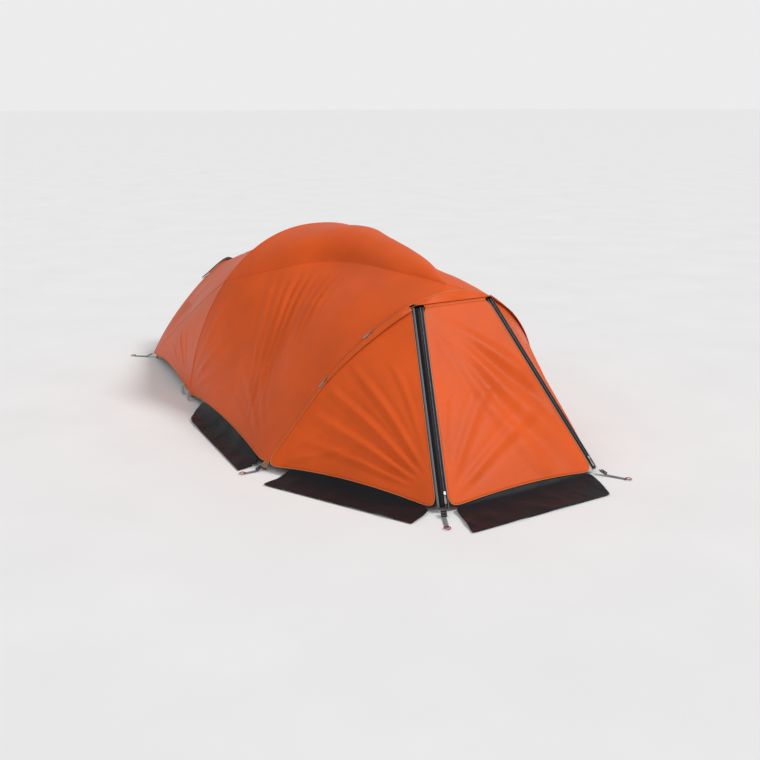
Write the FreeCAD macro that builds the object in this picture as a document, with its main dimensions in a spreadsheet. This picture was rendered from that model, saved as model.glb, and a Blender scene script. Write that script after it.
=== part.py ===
import FreeCAD, Part
import math
import os
from FreeCAD import Placement, Rotation, Vector

# Two-person mountaineering tent: an outer fly on five bowed poles, with an inner tent hung under it.
# X runs across (the tent is symmetric about X = 0), -Y is the porch, +Y the rear, +Z up, millimetres.
# The origin is on the ground, under the middle.

DOC = FreeCAD.newDocument("tent")
ORIGIN = Vector(0, 0, 0)
UP = Vector(0, 0, 1)
RIGHT = Vector(1, 0, 0)
SIDES = (("left", -1), ("right", 1))

# Driving dimensions, in millimetres and degrees.
DIMENSIONS = {
    "hoop_foot_half": 940,
    "hoop_foot_y": -796,
    "hoop_lean": 21.3,
    "hoop_top_radius": 600,
    "hoop_top_angle": 38,
    "hoop_side_radius": 1258,
    "hoop_leg_angle": 61.5,
    "hoop_tangent_half": 700,
    "arch_foot_half": 765,
    "arch_foot_y": 635,
    "arch_peak_y": 265,
    "arch_height": 1100,
    "arch_exponent": 2.3,
    "crossing_half": 585,
    "rear_foot_half": 610,
    "rear_foot_y": 1754,
    "rear_peak_y": 1690,
    "rear_height": 700,
    "rear_exponent": 1.25,
    "porch_foot_half": 480,
    "porch_foot_y": -1754,
    "porch_top_half": 233,
    "porch_top_y": -1166,
    "porch_top_height": 842,
    "hem_height": 30,
    "hem_rise": 55,
    "cloth": 1.5,
    "seam_gap": 2,
    "pole_radius": 4.5,
    "pole_wall": 0.7,
    "pole_inset": 17,
    "cord_radius": 1.5,
    "ferrule_radius": 6.5,
    "ferrule_length": 46,
    "inner_inset": 78,
    "floor_front_half": 720,
    "floor_front_y": -700,
    "floor_mid_half": 680,
    "floor_mid_y": 610,
    "floor_rear_half": 540,
    "floor_rear_y": 1600,
    "tub_height": 120,
    "zip_width": 12,
    "zip_thick": 2.4,
    "band_half": 31,
    "band_thick": 3,
    "slider_long": 17,
    "slider_wide": 11,
    "slider_high": 6,
    "pull_long": 38,
    "pull_wide": 11,
    "pull_thick": 2,
    "inner_door_half": 410,
    "inner_door_height": 600,
    "inner_door_sill": 60,
    "flap_front": 236,
    "flap_porch": 165,
    "flap_body": 130,
    "strap_wide": 20,
    "strap_thick": 1.6,
    "buckle_long": 34,
    "buckle_wide": 28,
    "buckle_thick": 5,
    "grommet_radius": 10,
    "grommet_thick": 4,
    "stiffener_radius": 2.2,
    "hank_long": 74,
    "hank_wide": 44,
    "hank_thick": 14,
}

sheet = DOC.addObject("Spreadsheet::Sheet", "Dimensions")
for row, (alias, number) in enumerate(DIMENSIONS.items(), start=1):
    sheet.set(f"A{row}", alias)
    sheet.set(f"B{row}", str(number))
    sheet.setAlias(f"B{row}", alias)
DOC.recompute()


def size(alias):
    """A driving dimension, read from the sheet."""
    return float(sheet.get(alias))


SUBPARTS = []


def keep(feature, label):
    """Names a sub-part and lists it for writing."""
    feature.Label = label
    SUBPARTS.append(feature)
    return feature


def fixed_shape(label, shape):
    """A sub-part whose shape follows curves in space that no primitive has."""
    feature = DOC.addObject("Part::Feature", label)
    feature.Shape = shape
    feature.Placement = Placement()
    return keep(feature, label)


def group(label, shapes):
    """One sub-part made of like pieces that stay separate solids."""
    return fixed_shape(label, Part.makeCompound(shapes))


# ---------------------------------------------------------------- curves of the fly

def half_hoop(distance):
    """(out, up) in the hoop's own plane, at a distance along it from the apex."""
    top_radius, side_radius = size("hoop_top_radius"), size("hoop_side_radius")
    top_angle, leg_angle = math.radians(size("hoop_top_angle")), math.radians(size("hoop_leg_angle"))
    top_long, side_long = top_radius * top_angle, side_radius * (leg_angle - top_angle)
    shoulder_out = top_radius * math.sin(top_angle)
    shoulder_drop = top_radius * (1 - math.cos(top_angle))
    if distance <= top_long:
        turn = distance / top_radius
        return top_radius * math.sin(turn), -top_radius * (1 - math.cos(turn))
    if distance <= top_long + side_long:
        turn = top_angle + (distance - top_long) / side_radius
        out = shoulder_out + side_radius * (math.sin(turn) - math.sin(top_angle))
        return out, -shoulder_drop - side_radius * (math.cos(top_angle) - math.cos(turn))
    run = distance - top_long - side_long
    side_out = shoulder_out + side_radius * (math.sin(leg_angle) - math.sin(top_angle))
    side_drop = shoulder_drop + side_radius * (math.cos(top_angle) - math.cos(leg_angle))
    return side_out + run * math.cos(leg_angle), -side_drop - run * math.sin(leg_angle)


def half_hoop_length():
    """The distance along the hoop from its apex to its foot."""
    top = size("hoop_top_radius") * math.radians(size("hoop_top_angle"))
    side = size("hoop_side_radius") * math.radians(size("hoop_leg_angle") - size("hoop_top_angle"))
    out_at_leg = half_hoop(top + side)[0]
    leg = (size("hoop_foot_half") - out_at_leg) / math.cos(math.radians(size("hoop_leg_angle")))
    return top + side + leg


HOOP_HALF = half_hoop_length()
HOOP_LEAN = math.radians(size("hoop_lean"))
HOOP_UP = Vector(0, -math.sin(HOOP_LEAN), math.cos(HOOP_LEAN))
HOOP_BACK = Vector(0, math.cos(HOOP_LEAN), math.sin(HOOP_LEAN))
HOOP_HEIGHT = -half_hoop(HOOP_HALF)[1]


def on_hoop_plane(out, rise):
    """A place in the hoop's plane, from its distance out and its height up the plane."""
    return Vector(out, size("hoop_foot_y"), 0) + HOOP_UP * rise


def hoop(share):
    """The hoop, from its left foot at 0 to its right foot at 1."""
    along = (share * 2 - 1) * HOOP_HALF
    out, drop = half_hoop(abs(along))
    return on_hoop_plane(math.copysign(out, along), HOOP_HEIGHT + drop)


def spline(points):
    """A smooth curve through the points, as a function of the share of its length."""
    curve = Part.BSplineCurve()
    curve.interpolate(points)
    edge = curve.toShape()

    def at(share):
        return edge.valueAt(edge.getParameterByLength(min(max(share, 0), 1) * edge.Length))

    return at


def line(start, end):
    """A straight run as a function of the share of its length."""
    return lambda share: start + (end - start) * share


def stretch(curve, start, end):
    """The stretch of a curve between two shares."""
    return lambda share: curve(start + (end - start) * share)


def mirrored(curve):
    """The same curve on the other side of the tent."""
    return lambda share: Vector(-curve(share).x, curve(share).y, curve(share).z)


def bow(half, foot_y, peak_y, height, exponent, steps=36):
    """A leaning superellipse arch, from its left foot at 0 to its right foot at 1."""
    points = []
    for step in range(steps + 1):
        angle = math.pi * step / steps
        out = -math.copysign(abs(math.cos(angle)) ** (2 / exponent), math.cos(angle))
        rise = math.sin(angle) ** (2 / exponent) if 0 < step < steps else 0
        points.append(Vector(half * out, foot_y + (peak_y - foot_y) * rise, height * rise))
    whole = spline(points)
    return lambda share: whole(share) if share <= 0.5 else mirrored(whole)(1 - share)


arch = bow(size("arch_foot_half"), size("arch_foot_y"), size("arch_peak_y"), size("arch_height"),
           size("arch_exponent"))
rear_bow = bow(size("rear_foot_half"), size("rear_foot_y"), size("rear_peak_y"), size("rear_height"),
               size("rear_exponent"))


def share_where_out_is(curve, out):
    """The share of the left half of an arch at which it is this far out."""
    low, high = 0.0, 0.5
    for _ in range(40):
        middle = (low + high) / 2
        if -curve(middle).x > out:
            low = middle
        else:
            high = middle
    return (low + high) / 2


def foot_share(curve, height):
    """The share at which the left half of an arch first reaches a height."""
    low, high = 0.0, 0.5
    for _ in range(40):
        middle = (low + high) / 2
        if curve(middle).z < height:
            low = middle
        else:
            high = middle
    return high


ARCH_CROSSING = share_where_out_is(arch, size("crossing_half"))
HEM_HEIGHT = size("hem_height")
HOOP_START, ARCH_START, REAR_START = (foot_share(curve, HEM_HEIGHT) for curve in (hoop, arch, rear_bow))
HOOP_APEX_BACK = Vector(0, -1085, 922)
crossing_left = arch(ARCH_CROSSING)
CORNER_REAR = rear_bow(REAR_START)
CORNER_MID = arch(ARCH_START)
CORNER_HOOP = hoop(HOOP_START)
CORNER_PORCH = Vector(-size("porch_foot_half"), size("porch_foot_y"), HEM_HEIGHT)
PORCH_TOP = Vector(-size("porch_top_half"), size("porch_top_y"), size("porch_top_height"))

# The ridge that each diagonal pole makes: back from the crossing over the porch, then out to the main
# arch, and down to the rear corner.
ridge_front = spline([
    HOOP_APEX_BACK, Vector(-75, -920, 946), Vector(-140, -740, 961), Vector(-150, -520, 966),
    Vector(-195, -310, 957), Vector(-310, -120, 928), Vector(-455, 70, 868), crossing_left,
])
ridge_rear = spline([
    crossing_left, Vector(-592, 700, 615), Vector(-597, 1050, 425), Vector(-604, 1450, 202), CORNER_REAR,
])

CORE_FRONT = Vector(0, -1000, 250)
CORE_REAR = Vector(0, 1150, 180)


def inward(point):
    """The direction from a place on the fly to the core line of the tent."""
    share = (point.y - CORE_FRONT.y) / (CORE_REAR.y - CORE_FRONT.y)
    core = CORE_FRONT + (CORE_REAR - CORE_FRONT) * min(max(share, 0), 1)
    return (core - point).normalize()


def inset(curve, depth):
    """The same curve, moved towards the core of the tent."""
    return lambda share: curve(share) + inward(curve(share)) * depth


def hem(start, end, rise):
    """A hem cut to a catenary, so that it lies higher in the middle of its span."""
    return lambda share: start + (end - start) * share + UP * (rise * 4 * share * (1 - share))


# ---------------------------------------------------------------- cloth

def triangle(a, b, c):
    """A flat three-cornered face, or nothing where the corners meet."""
    if (b - a).cross(c - a).Length < 1e-4:
        return []
    return [Part.Face(Part.makePolygon([a, b, c, a]))]


def cloth_between(front, back, turned_from=math.inf):
    """A closed solid between two grids of points, the front one facing outwards. From the row turned_from on,
    its cells are split the other way, so that left and right match."""
    faces = []
    rows, columns = len(front) - 1, len(front[0]) - 1

    def cell(row, *corners):
        a, b, c, d = corners if row < turned_from else corners[1:] + corners[:1]
        return triangle(a, b, c) + triangle(a, c, d)

    for j in range(rows):
        for i in range(columns):
            faces += cell(j, front[j][i], front[j][i + 1], front[j + 1][i + 1], front[j + 1][i])
            faces += cell(j, back[j][i], back[j + 1][i], back[j + 1][i + 1], back[j][i + 1])
    for i in range(columns):
        faces += cell(0, front[0][i], back[0][i], back[0][i + 1], front[0][i + 1])
        faces += cell(rows - 1, front[-1][i + 1], back[-1][i + 1], back[-1][i], front[-1][i])
    for j in range(rows):
        faces += cell(j, front[j + 1][0], back[j + 1][0], back[j][0], front[j][0])
        faces += cell(j, front[j][-1], back[j][-1], back[j + 1][-1], front[j + 1][-1])
    shell = Part.makeShell(faces)
    shell.sewShape()
    solid = Part.makeSolid(shell)
    if solid.Volume < 0:
        solid.reverse()
    return solid


def patch(bottom, top, left, right, across=8, up=6, sag=0.0, margins=(0, 0, 0, 0)):
    """A grid of points over a four-edged panel, blended from its edges. Margins are lengths kept clear of
    the left, right, bottom and top edge. Sag draws the middle inwards."""
    wide = (bottom(1) - bottom(0)).Length / 2 + (top(1) - top(0)).Length / 2
    high = (left(1) - left(0)).Length / 2 + (right(1) - right(0)).Length / 2
    rows = []
    for j in range(up + 1):
        v = margins[2] / high + (1 - (margins[2] + margins[3]) / high) * j / up
        row = []
        for i in range(across + 1):
            u = margins[0] / wide + (1 - (margins[0] + margins[1]) / wide) * i / across
            corners = (bottom(0) * ((1 - u) * (1 - v)) + bottom(1) * (u * (1 - v))
                       + top(0) * ((1 - u) * v) + top(1) * (u * v))
            point = bottom(u) * (1 - v) + top(u) * v + left(v) * (1 - u) + right(v) * u - corners
            row.append(point + inward(point) * (sag * 16 * u * (1 - u) * v * (1 - v)))
        rows.append(row)
    return rows


def panel(rows, turned_from=math.inf):
    """A sewn panel one cloth thick, its thickness on the inside."""
    thick = size("cloth")
    return cloth_between(rows, [[p + inward(p) * thick for p in row] for row in rows], turned_from)


TURNED_FROM = {"left": math.inf, "right": 0}


def both(rows):
    """The same grid on the left and on the right."""
    return {"left": rows, "right": [[Vector(-p.x, p.y, p.z) for p in reversed(row)] for row in rows]}


# Panels that are sewn together are cut into the same number of cells along their seam.
CELLS_FRONT_RIDGE = 10
CELLS_REAR_RIDGE = 8
CELLS_SIDE = 12
CELLS_OVER = 16
PATCH_SHARE = 0.47


def fly_panels(sag, hem_front, hem_rear):
    """The main panels of the fly on the left: side, rear side, front roof and rear roof. The hems run from
    hoop to arch and from arch to rear. Also gives the line that the rear wall is sewn to."""
    from_arch = stretch(arch, ARCH_START, ARCH_CROSSING)
    over_arch = stretch(arch, ARCH_CROSSING, 1 - ARCH_CROSSING)
    over_rear = stretch(rear_bow, REAR_START, 1 - REAR_START)
    knee = 1 - 1 / CELLS_SIDE

    def from_hoop(share):
        """Up the hoop, then over to the crossing of the diagonal poles."""
        point = hoop(HOOP_START + (PATCH_SHARE - HOOP_START) * min(share / knee, 1))
        return point + (ridge_front(0) - hoop(PATCH_SHARE)) * max((share - knee) * CELLS_SIDE, 0)

    tip = ridge_rear(1)
    apex = ridge_front(0)
    return {
        "side": patch(hem_front, ridge_front, from_hoop, from_arch, CELLS_FRONT_RIDGE, CELLS_SIDE, sag),
        "rear_side": patch(hem_rear, ridge_rear, from_arch, line(tip, tip),
                           CELLS_REAR_RIDGE, CELLS_SIDE, sag / 2),
        "roof_front": patch(ridge_front, mirrored(ridge_front), line(apex, apex), over_arch,
                            CELLS_FRONT_RIDGE, CELLS_OVER, sag / 3),
        "roof_rear": patch(ridge_rear, mirrored(ridge_rear), over_arch, over_rear,
                           CELLS_REAR_RIDGE, CELLS_OVER, sag),
    }, over_rear


def flip(rows):
    """The same grid, facing the other way."""
    return [list(reversed(row)) for row in rows]


# ---------------------------------------------------------------- fly

HEM_RISE = size("hem_rise")
REAR_RIGHT = Vector(-CORNER_REAR.x, CORNER_REAR.y, CORNER_REAR.z)
FLY_SAG = 12
side_hem = hem(CORNER_HOOP, CORNER_MID, HEM_RISE)
rear_hem = hem(CORNER_REAR, REAR_RIGHT, HEM_RISE / 2)
fly, rear_top = fly_panels(FLY_SAG, side_hem, hem(CORNER_MID, CORNER_REAR, HEM_RISE))
for side, rows in both(fly["side"]).items():
    fixed_shape(f"fly_side_{side}", panel(rows, TURNED_FROM[side]))
for side, rows in both(fly["rear_side"]).items():
    fixed_shape(f"fly_rear_side_{side}", panel(rows, TURNED_FROM[side]))
fixed_shape("fly_roof_front", panel(fly["roof_front"], CELLS_OVER // 2))
fixed_shape("fly_roof_rear", panel(fly["roof_rear"], CELLS_OVER // 2))

# The rear wall of the fly stops at a vent, which a mesh closes under the hood.
VENT_SILL_CELL = 6
TOP_CELL = CELLS_OVER // 2


def across_bow(points, base=None, cells=6):
    """A grid across a bow from its left-hand points, lowest first, starting from a hem if there is one."""
    rows = []
    for left in points:
        right = Vector(-left.x, left.y, left.z)
        rows.append([left + (right - left) * (i / cells) for i in range(cells + 1)])
    if base:
        rows[0] = [base(i / cells) for i in range(cells + 1)]
    return flip(rows)


rear_points = [rear_top(i / CELLS_OVER) for i in range(TOP_CELL + 1)]
rear_points[-1] = rear_points[-2] + (rear_points[-1] - rear_points[-2]) * 0.96
fixed_shape("fly_rear_gable", panel(across_bow(rear_points[:VENT_SILL_CELL + 1], rear_hem)))
fixed_shape("rear_vent_mesh", panel(across_bow(rear_points[VENT_SILL_CELL:])))

# ---------------------------------------------------------------- porch

BAND_LINE = line(CORNER_PORCH, PORCH_TOP)
band_way = (PORCH_TOP - CORNER_PORCH).normalize()
front_way = (RIGHT - band_way * RIGHT.dot(band_way)).normalize()
to_hoop = CORNER_HOOP * 0.45 + hoop(0.25) * 0.55 - CORNER_PORCH
side_way = (to_hoop - band_way * to_hoop.dot(band_way)).normalize()
front_out = front_way.cross(band_way).normalize()
side_out = band_way.cross(side_way).normalize()
BAND_REACH = size("band_half") + size("seam_gap")
GAP = size("seam_gap")


def moved(curve, shift):
    """The same curve, moved as a whole."""
    return lambda share: curve(share) + shift


side_edge = moved(BAND_LINE, side_way * BAND_REACH)
front_edge = moved(BAND_LINE, front_way * BAND_REACH)
porch_hoop_end = 0.405
door_hoop = moved(stretch(hoop, HOOP_START, porch_hoop_end), HOOP_BACK * -(size("zip_width") / 2 + GAP))
door_hem = hem(side_edge(0), door_hoop(0), HEM_RISE * 0.7)
door_top = 0.985
door_grid = patch(door_hem, line(side_edge(door_top), door_hoop(1)), stretch(side_edge, 0, door_top), door_hoop,
                  8, 10, 4)
for side, rows in both(door_grid).items():
    fixed_shape(f"porch_side_door_{side}", panel(rows, TURNED_FROM[side]))

front_hem = hem(front_edge(0), mirrored(front_edge)(0), HEM_RISE * 0.5)
top_line = 1 - GAP / (PORCH_TOP - CORNER_PORCH).Length
front_top = line(front_edge(top_line), mirrored(front_edge)(top_line))
front_grid = patch(front_hem, front_top, stretch(front_edge, 0, top_line),
                   stretch(mirrored(front_edge), 0, top_line), 8, 10, 0)
fixed_shape("porch_front_door", panel(front_grid))

# The brow closes the porch between the hoop and the line that the front door hangs from.
brow_start = 0.5 - (size("porch_top_half") + 14) / (2 * HOOP_HALF)
brow_top = moved(stretch(hoop, brow_start, 1 - brow_start), HOOP_BACK * -3)
brow_low = line(PORCH_TOP + UP * (GAP * 3), Vector(-PORCH_TOP.x, PORCH_TOP.y, PORCH_TOP.z) + UP * (GAP * 3))
brow_rows = [[brow_low(i / 8) * (1 - j / 3) + brow_top(i / 8) * (j / 3) for i in range(9)] for j in range(4)]
fixed_shape("porch_brow", panel(brow_rows))

# The roof over the porch arch, between the hoop and the crossing of the two diagonal poles.
PATCH_CELLS = 4
collar_low = [hoop(PATCH_SHARE + (1 - 2 * PATCH_SHARE) * i / PATCH_CELLS) for i in range(PATCH_CELLS + 1)]
fixed_shape("fly_apex_patch", panel([collar_low, [HOOP_APEX_BACK] * (PATCH_CELLS + 1)]))


def zip_band(side, sign):
    """The dark storm flap over a straight porch zip: two wings folded along the zip's line."""
    half, thick = size("band_half"), size("band_thick")
    back = (front_out + side_out).normalize()
    outline = [ORIGIN, front_way * half, front_way * half - front_out * thick,
               back * (-thick * 1.1), side_way * half - side_out * thick, side_way * half]
    points = [Vector(-sign * p.x, p.y, p.z) for p in outline]
    foot = CORNER_PORCH + band_way * 4
    start = Vector(-sign * foot.x, foot.y, foot.z)
    run = Vector(-sign * band_way.x, band_way.y, band_way.z)
    wire = Part.makePolygon([start + p for p in points] + [start + points[0]])
    long = (PORCH_TOP - CORNER_PORCH).Length - 8
    return fixed_shape(f"front_zip_band_{side}", Part.Face(wire).extrude(run * long))


def hoop_zip(side, sign):
    """The curved zip tape along the hoop, between the fly's side and the porch's side door."""
    width, thick = size("zip_width"), size("zip_thick")
    rows = []
    for edge in (-0.5, 0.5):
        shift = HOOP_BACK * (edge * width)
        rows.append([hoop(HOOP_START + (porch_hoop_end - HOOP_START) * i / 24) + shift
                     for i in range(25)])
    raised = [[p - inward(p) * thick for p in row] for row in rows]
    if sign > 0:
        rows, raised = both(rows)["right"], both(raised)["right"]
    return fixed_shape(f"hoop_zip_{side}", cloth_between(raised, rows))


for side, sign in SIDES:
    zip_band(side, sign)
    hoop_zip(side, sign)

# ---------------------------------------------------------------- snow flaps


FLAP_DROP = 42


def snow_flap(label, curve, outward, width, sewn, free):
    """A flap sewn along a hem, that drops to the ground and lies out over it. Sewn and free are the stretches
    of the hem that its two long edges lie beside."""
    thick = size("cloth")
    rows = [[], [], []]
    for i in range(9):
        hem_share = sewn[0] + (sewn[1] - sewn[0]) * i / 8
        free_share = free[0] + (free[1] - free[0]) * i / 8
        top = curve(hem_share) - UP * (GAP + thick)
        foot = Vector(top.x, top.y, 0) + outward * FLAP_DROP
        end = curve(free_share)
        rows[0].append(top + outward * 3)
        rows[1].append(foot)
        rows[2].append(Vector(end.x, end.y, 0) + outward * width)
    if rows[0][0].x > rows[0][-1].x:
        rows = flip(rows)
    return rows, [[p + UP * thick for p in row] for row in rows], label


def lay(flap, right=False):
    """Makes the flap's solid, or its twin on the right."""
    low, high, label = flap
    if right:
        low, high = both(low)["right"], both(high)["right"]
    solid = cloth_between(high, low)
    return fixed_shape(label, solid)


BODY_OUT = Vector(-(CORNER_MID.y - CORNER_HOOP.y), CORNER_MID.x - CORNER_HOOP.x, 0).normalize()
PORCH_OUT = Vector(-(CORNER_HOOP.y - CORNER_PORCH.y), CORNER_HOOP.x - CORNER_PORCH.x, 0).normalize()
for side, sign in SIDES:
    body_flap = snow_flap(f"snow_flap_body_{side}", side_hem, BODY_OUT, size("flap_body"), (0.05, 0.79), (0.03, 0.68))
    lay(body_flap, sign > 0)
# The right-hand porch flap is folded in under the porch.
lay(snow_flap("snow_flap_porch_left", door_hem, PORCH_OUT, size("flap_porch"), (0.03, 0.86), (0.03, 0.88)))
lay(snow_flap("snow_flap_porch_right", door_hem, PORCH_OUT * -1, size("flap_porch"), (0.06, 0.86), (0.12, 0.84)),
    right=True)
lay(snow_flap("snow_flap_front", front_hem, Vector(0, -1, 0), size("flap_front"), (0.03, 0.97), (-0.05, 0.87)))

# ---------------------------------------------------------------- poles

POLE = size("pole_radius")
DEPTH = size("pole_inset")


def heading(curve, share):
    """The direction in which a curve runs at a share of its length."""
    return (curve(share + 0.001) - curve(share - 0.001)).normalize()


def arc_by_corner(start, corner, end):
    """The arc that leaves its start towards a corner and reaches its end straight from that corner."""
    middle = (start + end) / 2
    half_chord = (end - start).Length / 2
    bend = corner - middle
    turn = math.atan2(bend.Length, half_chord)
    return Part.Arc(start, middle + bend.normalize() * (half_chord * math.tan(turn / 2)), end).toShape()


def two_arcs(curve, low, high):
    """The stretch of a curve between two shares, as two tangent arcs that keep its directions at both ends."""
    start, end = curve(low), curve(high)
    leave, arrive = heading(curve, low), heading(curve, high)
    chord = end - start
    spare = 2 * (1 - leave.dot(arrive))
    along = chord.dot(leave + arrive)
    reach = chord.dot(chord) / (along + math.sqrt(along * along + spare * chord.dot(chord)))
    first_corner, last_corner = start + leave * reach, end - arrive * reach
    joint = (first_corner + last_corner) / 2
    return Part.Wire([arc_by_corner(start, first_corner, joint), arc_by_corner(joint, last_corner, end)])


def tube(path, start, way, radius):
    """A round rod along a path."""
    ring = Part.Wire(Part.Circle(start, way, radius).toShape())
    return path.makePipe(Part.Face(ring))


def pole(label, curve, sections, start=0.0, end=1.0):
    """A shock-corded pole in sections. Also gives its ferrules, its cord and its two feet."""
    tubes, ferrules, cords = [], [], []
    step = (end - start) / sections
    spare = step * 0.003
    for number in range(sections):
        low, high = start + step * number, start + step * (number + 1)
        path = two_arcs(curve, low + spare, high - spare)
        place, way = curve(low + spare), heading(curve, low + spare)
        bore = tube(path, place, way, POLE - size("pole_wall"))
        tubes.append(tube(path, place, way, POLE).cut(bore))
        cords.append(tube(path, place, way, size("cord_radius")))
        if number:
            foot = curve(low) - way * (size("ferrule_length") / 2)
            outer = Part.makeCylinder(size("ferrule_radius"), size("ferrule_length"), foot, way)
            ferrules.append(outer.cut(Part.makeCylinder(size("ferrule_radius") - 0.5,
                                                        size("ferrule_length"), foot, way)))
    group(label, tubes)
    return ferrules, cords


def lifted(curve, height):
    """The stretch of an arch that stands above a height, feet cut level."""
    start = foot_share(curve, height)
    end = 1 - start
    return stretch(curve, start, end)


REAR_FOOT_GAP = 30
LEG_TOP_DROP = 8


def diagonal(sign):
    """A diagonal pole: up behind the porch hoop on one side, over the apex, and down the other side."""
    legs = [hoop(share) + HOOP_BACK * 30 for share in (0.0, 0.1, 0.2, 0.3, 0.38, 0.45)]
    over = 10 * sign
    lows = [p + inward(p) * DEPTH for p in legs]
    lows[-1] += inward(lows[-1]) * LEG_TOP_DROP
    under = 10 if sign < 0 else 0
    apex = Vector(0, HOOP_APEX_BACK.y + 6, HOOP_APEX_BACK.z - DEPTH - 11 + over)
    tops = [mirrored(ridge_front)(share) for share in (0.16, 0.33, 0.5, 0.66, 0.82)]
    crossing = mirrored(ridge_front)(1)
    rears = [mirrored(ridge_rear)(share) for share in (0.22, 0.45, 0.7, 1)]
    path = lows + [apex] + [p + inward(p) * (DEPTH + under) for p in tops]
    path += [crossing + inward(crossing) * (DEPTH + 2 * POLE + 3)]
    path += [p + inward(p) * DEPTH for p in rears]
    path[0].z = 8
    path[-1] = Vector(path[-1].x, path[-1].y - REAR_FOOT_GAP, 8)
    curve = spline(path)
    return curve if sign > 0 else mirrored(curve)


FOOT_HEIGHT = 8
REAR_POLE_DROP = 14
poles = {
    "main_arch_pole": (lifted(inset(arch, DEPTH), FOOT_HEIGHT), 7),
    "porch_hoop_pole": (lifted(inset(hoop, DEPTH), FOOT_HEIGHT), 6),
    "rear_hoop_pole": (lifted(inset(rear_bow, DEPTH + REAR_POLE_DROP), FOOT_HEIGHT), 7),
    "diagonal_pole_right": (diagonal(1), 11),
    "diagonal_pole_left": (diagonal(-1), 11),
}
all_ferrules, all_cords, tips, grommets = [], [], [], []
for label, (curve, sections) in poles.items():
    ferrules, cords = pole(label, curve, sections)
    all_ferrules += ferrules
    all_cords += cords
    for foot in (curve(0), curve(1)):
        top = Vector(foot.x, foot.y, foot.z - 0.6)
        tips.append(Part.makeCone(2, 3.4, top.z - 0.4, Vector(top.x, top.y, 0.4), UP))
        base = Vector(foot.x, foot.y, 0.3)
        ring = Part.makeCylinder(size("grommet_radius"), size("grommet_thick"), base, UP)
        grommets.append(ring.cut(Part.makeCylinder(4.2, 20, Vector(foot.x, foot.y, -5), UP)))
group("pole_ferrules", all_ferrules)
group("pole_shock_cords", all_cords)
group("pole_tips", tips)
group("corner_grommets", grommets)

# ---------------------------------------------------------------- inner tent

TUB = size("tub_height")
INNER = size("inner_inset")
floor_front = Vector(-size("floor_front_half"), size("floor_front_y"), TUB)
floor_mid = Vector(-size("floor_mid_half"), size("floor_mid_y"), TUB)
floor_rear = Vector(-size("floor_rear_half"), size("floor_rear_y"), TUB)
floor_rear_right = Vector(-floor_rear.x, floor_rear.y, TUB)
inner_bottoms = (line(floor_front, floor_mid), line(floor_mid, floor_rear), line(floor_rear, floor_rear_right))


def inner_panels():
    """The inner tent's skin, blended between the same bows at a greater depth."""
    peak_front = Vector(0, -905, 835)
    front_bow = bow(size("floor_front_half"), size("floor_front_y"), peak_front.y, peak_front.z - TUB, 2.0)
    front_line = moved(front_bow, UP * TUB)
    mid_line = moved(bow(size("floor_mid_half"), size("floor_mid_y"), size("arch_peak_y"),
                         size("arch_height") - INNER - TUB, size("arch_exponent")), UP * TUB)
    rear_line = moved(bow(size("floor_rear_half"), size("floor_rear_y"), size("rear_peak_y") - INNER,
                          size("rear_height") - INNER - TUB, 1.35), UP * TUB)
    return front_line, mid_line, rear_line


inner_front, inner_mid, inner_rear = inner_panels()
RIDGE = {"front": 0.36, "mid": 0.27, "rear": 0.30}
EDGE = 0.004
INNER_CELLS = 6


def roof_bow(curve, share):
    """The stretch of a bow that the roof covers, above the ridge lines."""
    return stretch(curve, share + EDGE, 1 - share - EDGE)


def wall_between(first, second, first_share, second_share, bottom):
    """A side wall of the inner tent from one bow to the next, below the ridge line."""
    top = line(first(first_share), second(second_share))
    return patch(bottom, top, stretch(first, 0, first_share), stretch(second, 0, second_share),
                 INNER_CELLS, INNER_CELLS, 8)


def roof_between(first, second, first_share, second_share):
    """The roof of the inner tent from one bow to the next, above the ridge lines."""
    start, end = roof_bow(first, first_share), roof_bow(second, second_share)
    ridge = line(start(0), end(0))
    return patch(ridge, mirrored(ridge), start, end, INNER_CELLS, INNER_CELLS, 4)


front_walls = both(wall_between(inner_front, inner_mid, RIDGE["front"], RIDGE["mid"], inner_bottoms[0]))
rear_walls = both(wall_between(inner_mid, inner_rear, RIDGE["mid"], RIDGE["rear"], inner_bottoms[1]))
for side, sign in SIDES:
    group(f"inner_wall_{side}", [panel(front_walls[side]), panel(rear_walls[side])])
group("inner_roof", [panel(roof_between(inner_front, inner_mid, RIDGE["front"], RIDGE["mid"])),
                     panel(roof_between(inner_mid, inner_rear, RIDGE["mid"], RIDGE["rear"]))])


def flat_wall(curve, steps):
    """A flat face that fills a bow."""
    points = [curve(i / steps) for i in range(steps + 1)]
    wire = Part.makePolygon(points + [points[0]])
    return Part.Face(wire)


lean = math.atan2(floor_front.y - inner_front(0.5).y, inner_front(0.5).z - TUB)
WALL_UP = Vector(0, -math.sin(lean), math.cos(lean))
WALL_BACK = Vector(0, math.cos(lean), math.sin(lean))
door_base = Vector(0, size("floor_front_y"), TUB) + WALL_UP * size("inner_door_sill")


def door_outline(spare):
    """The arched outline of the inner door, smaller by some spare length all round."""
    half, high = size("inner_door_half") - spare, size("inner_door_height") - 2 * spare
    base = door_base + WALL_UP * spare
    points = []
    for i in range(25):
        angle = math.pi * i / 24
        points.append(base + RIGHT * (-half * math.cos(angle)) + WALL_UP * (high * math.sin(angle) ** 0.8))
    return Part.Face(Part.makePolygon(points + [points[0]]))


def set_in(bow_curve, gap):
    """The front wall's own outline, just inside the walls and the roof."""
    middle = Vector(0, size("floor_front_y"), TUB) + WALL_UP * 300
    return lambda share: bow_curve(share) + (middle - bow_curve(share)).normalize() * gap


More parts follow.
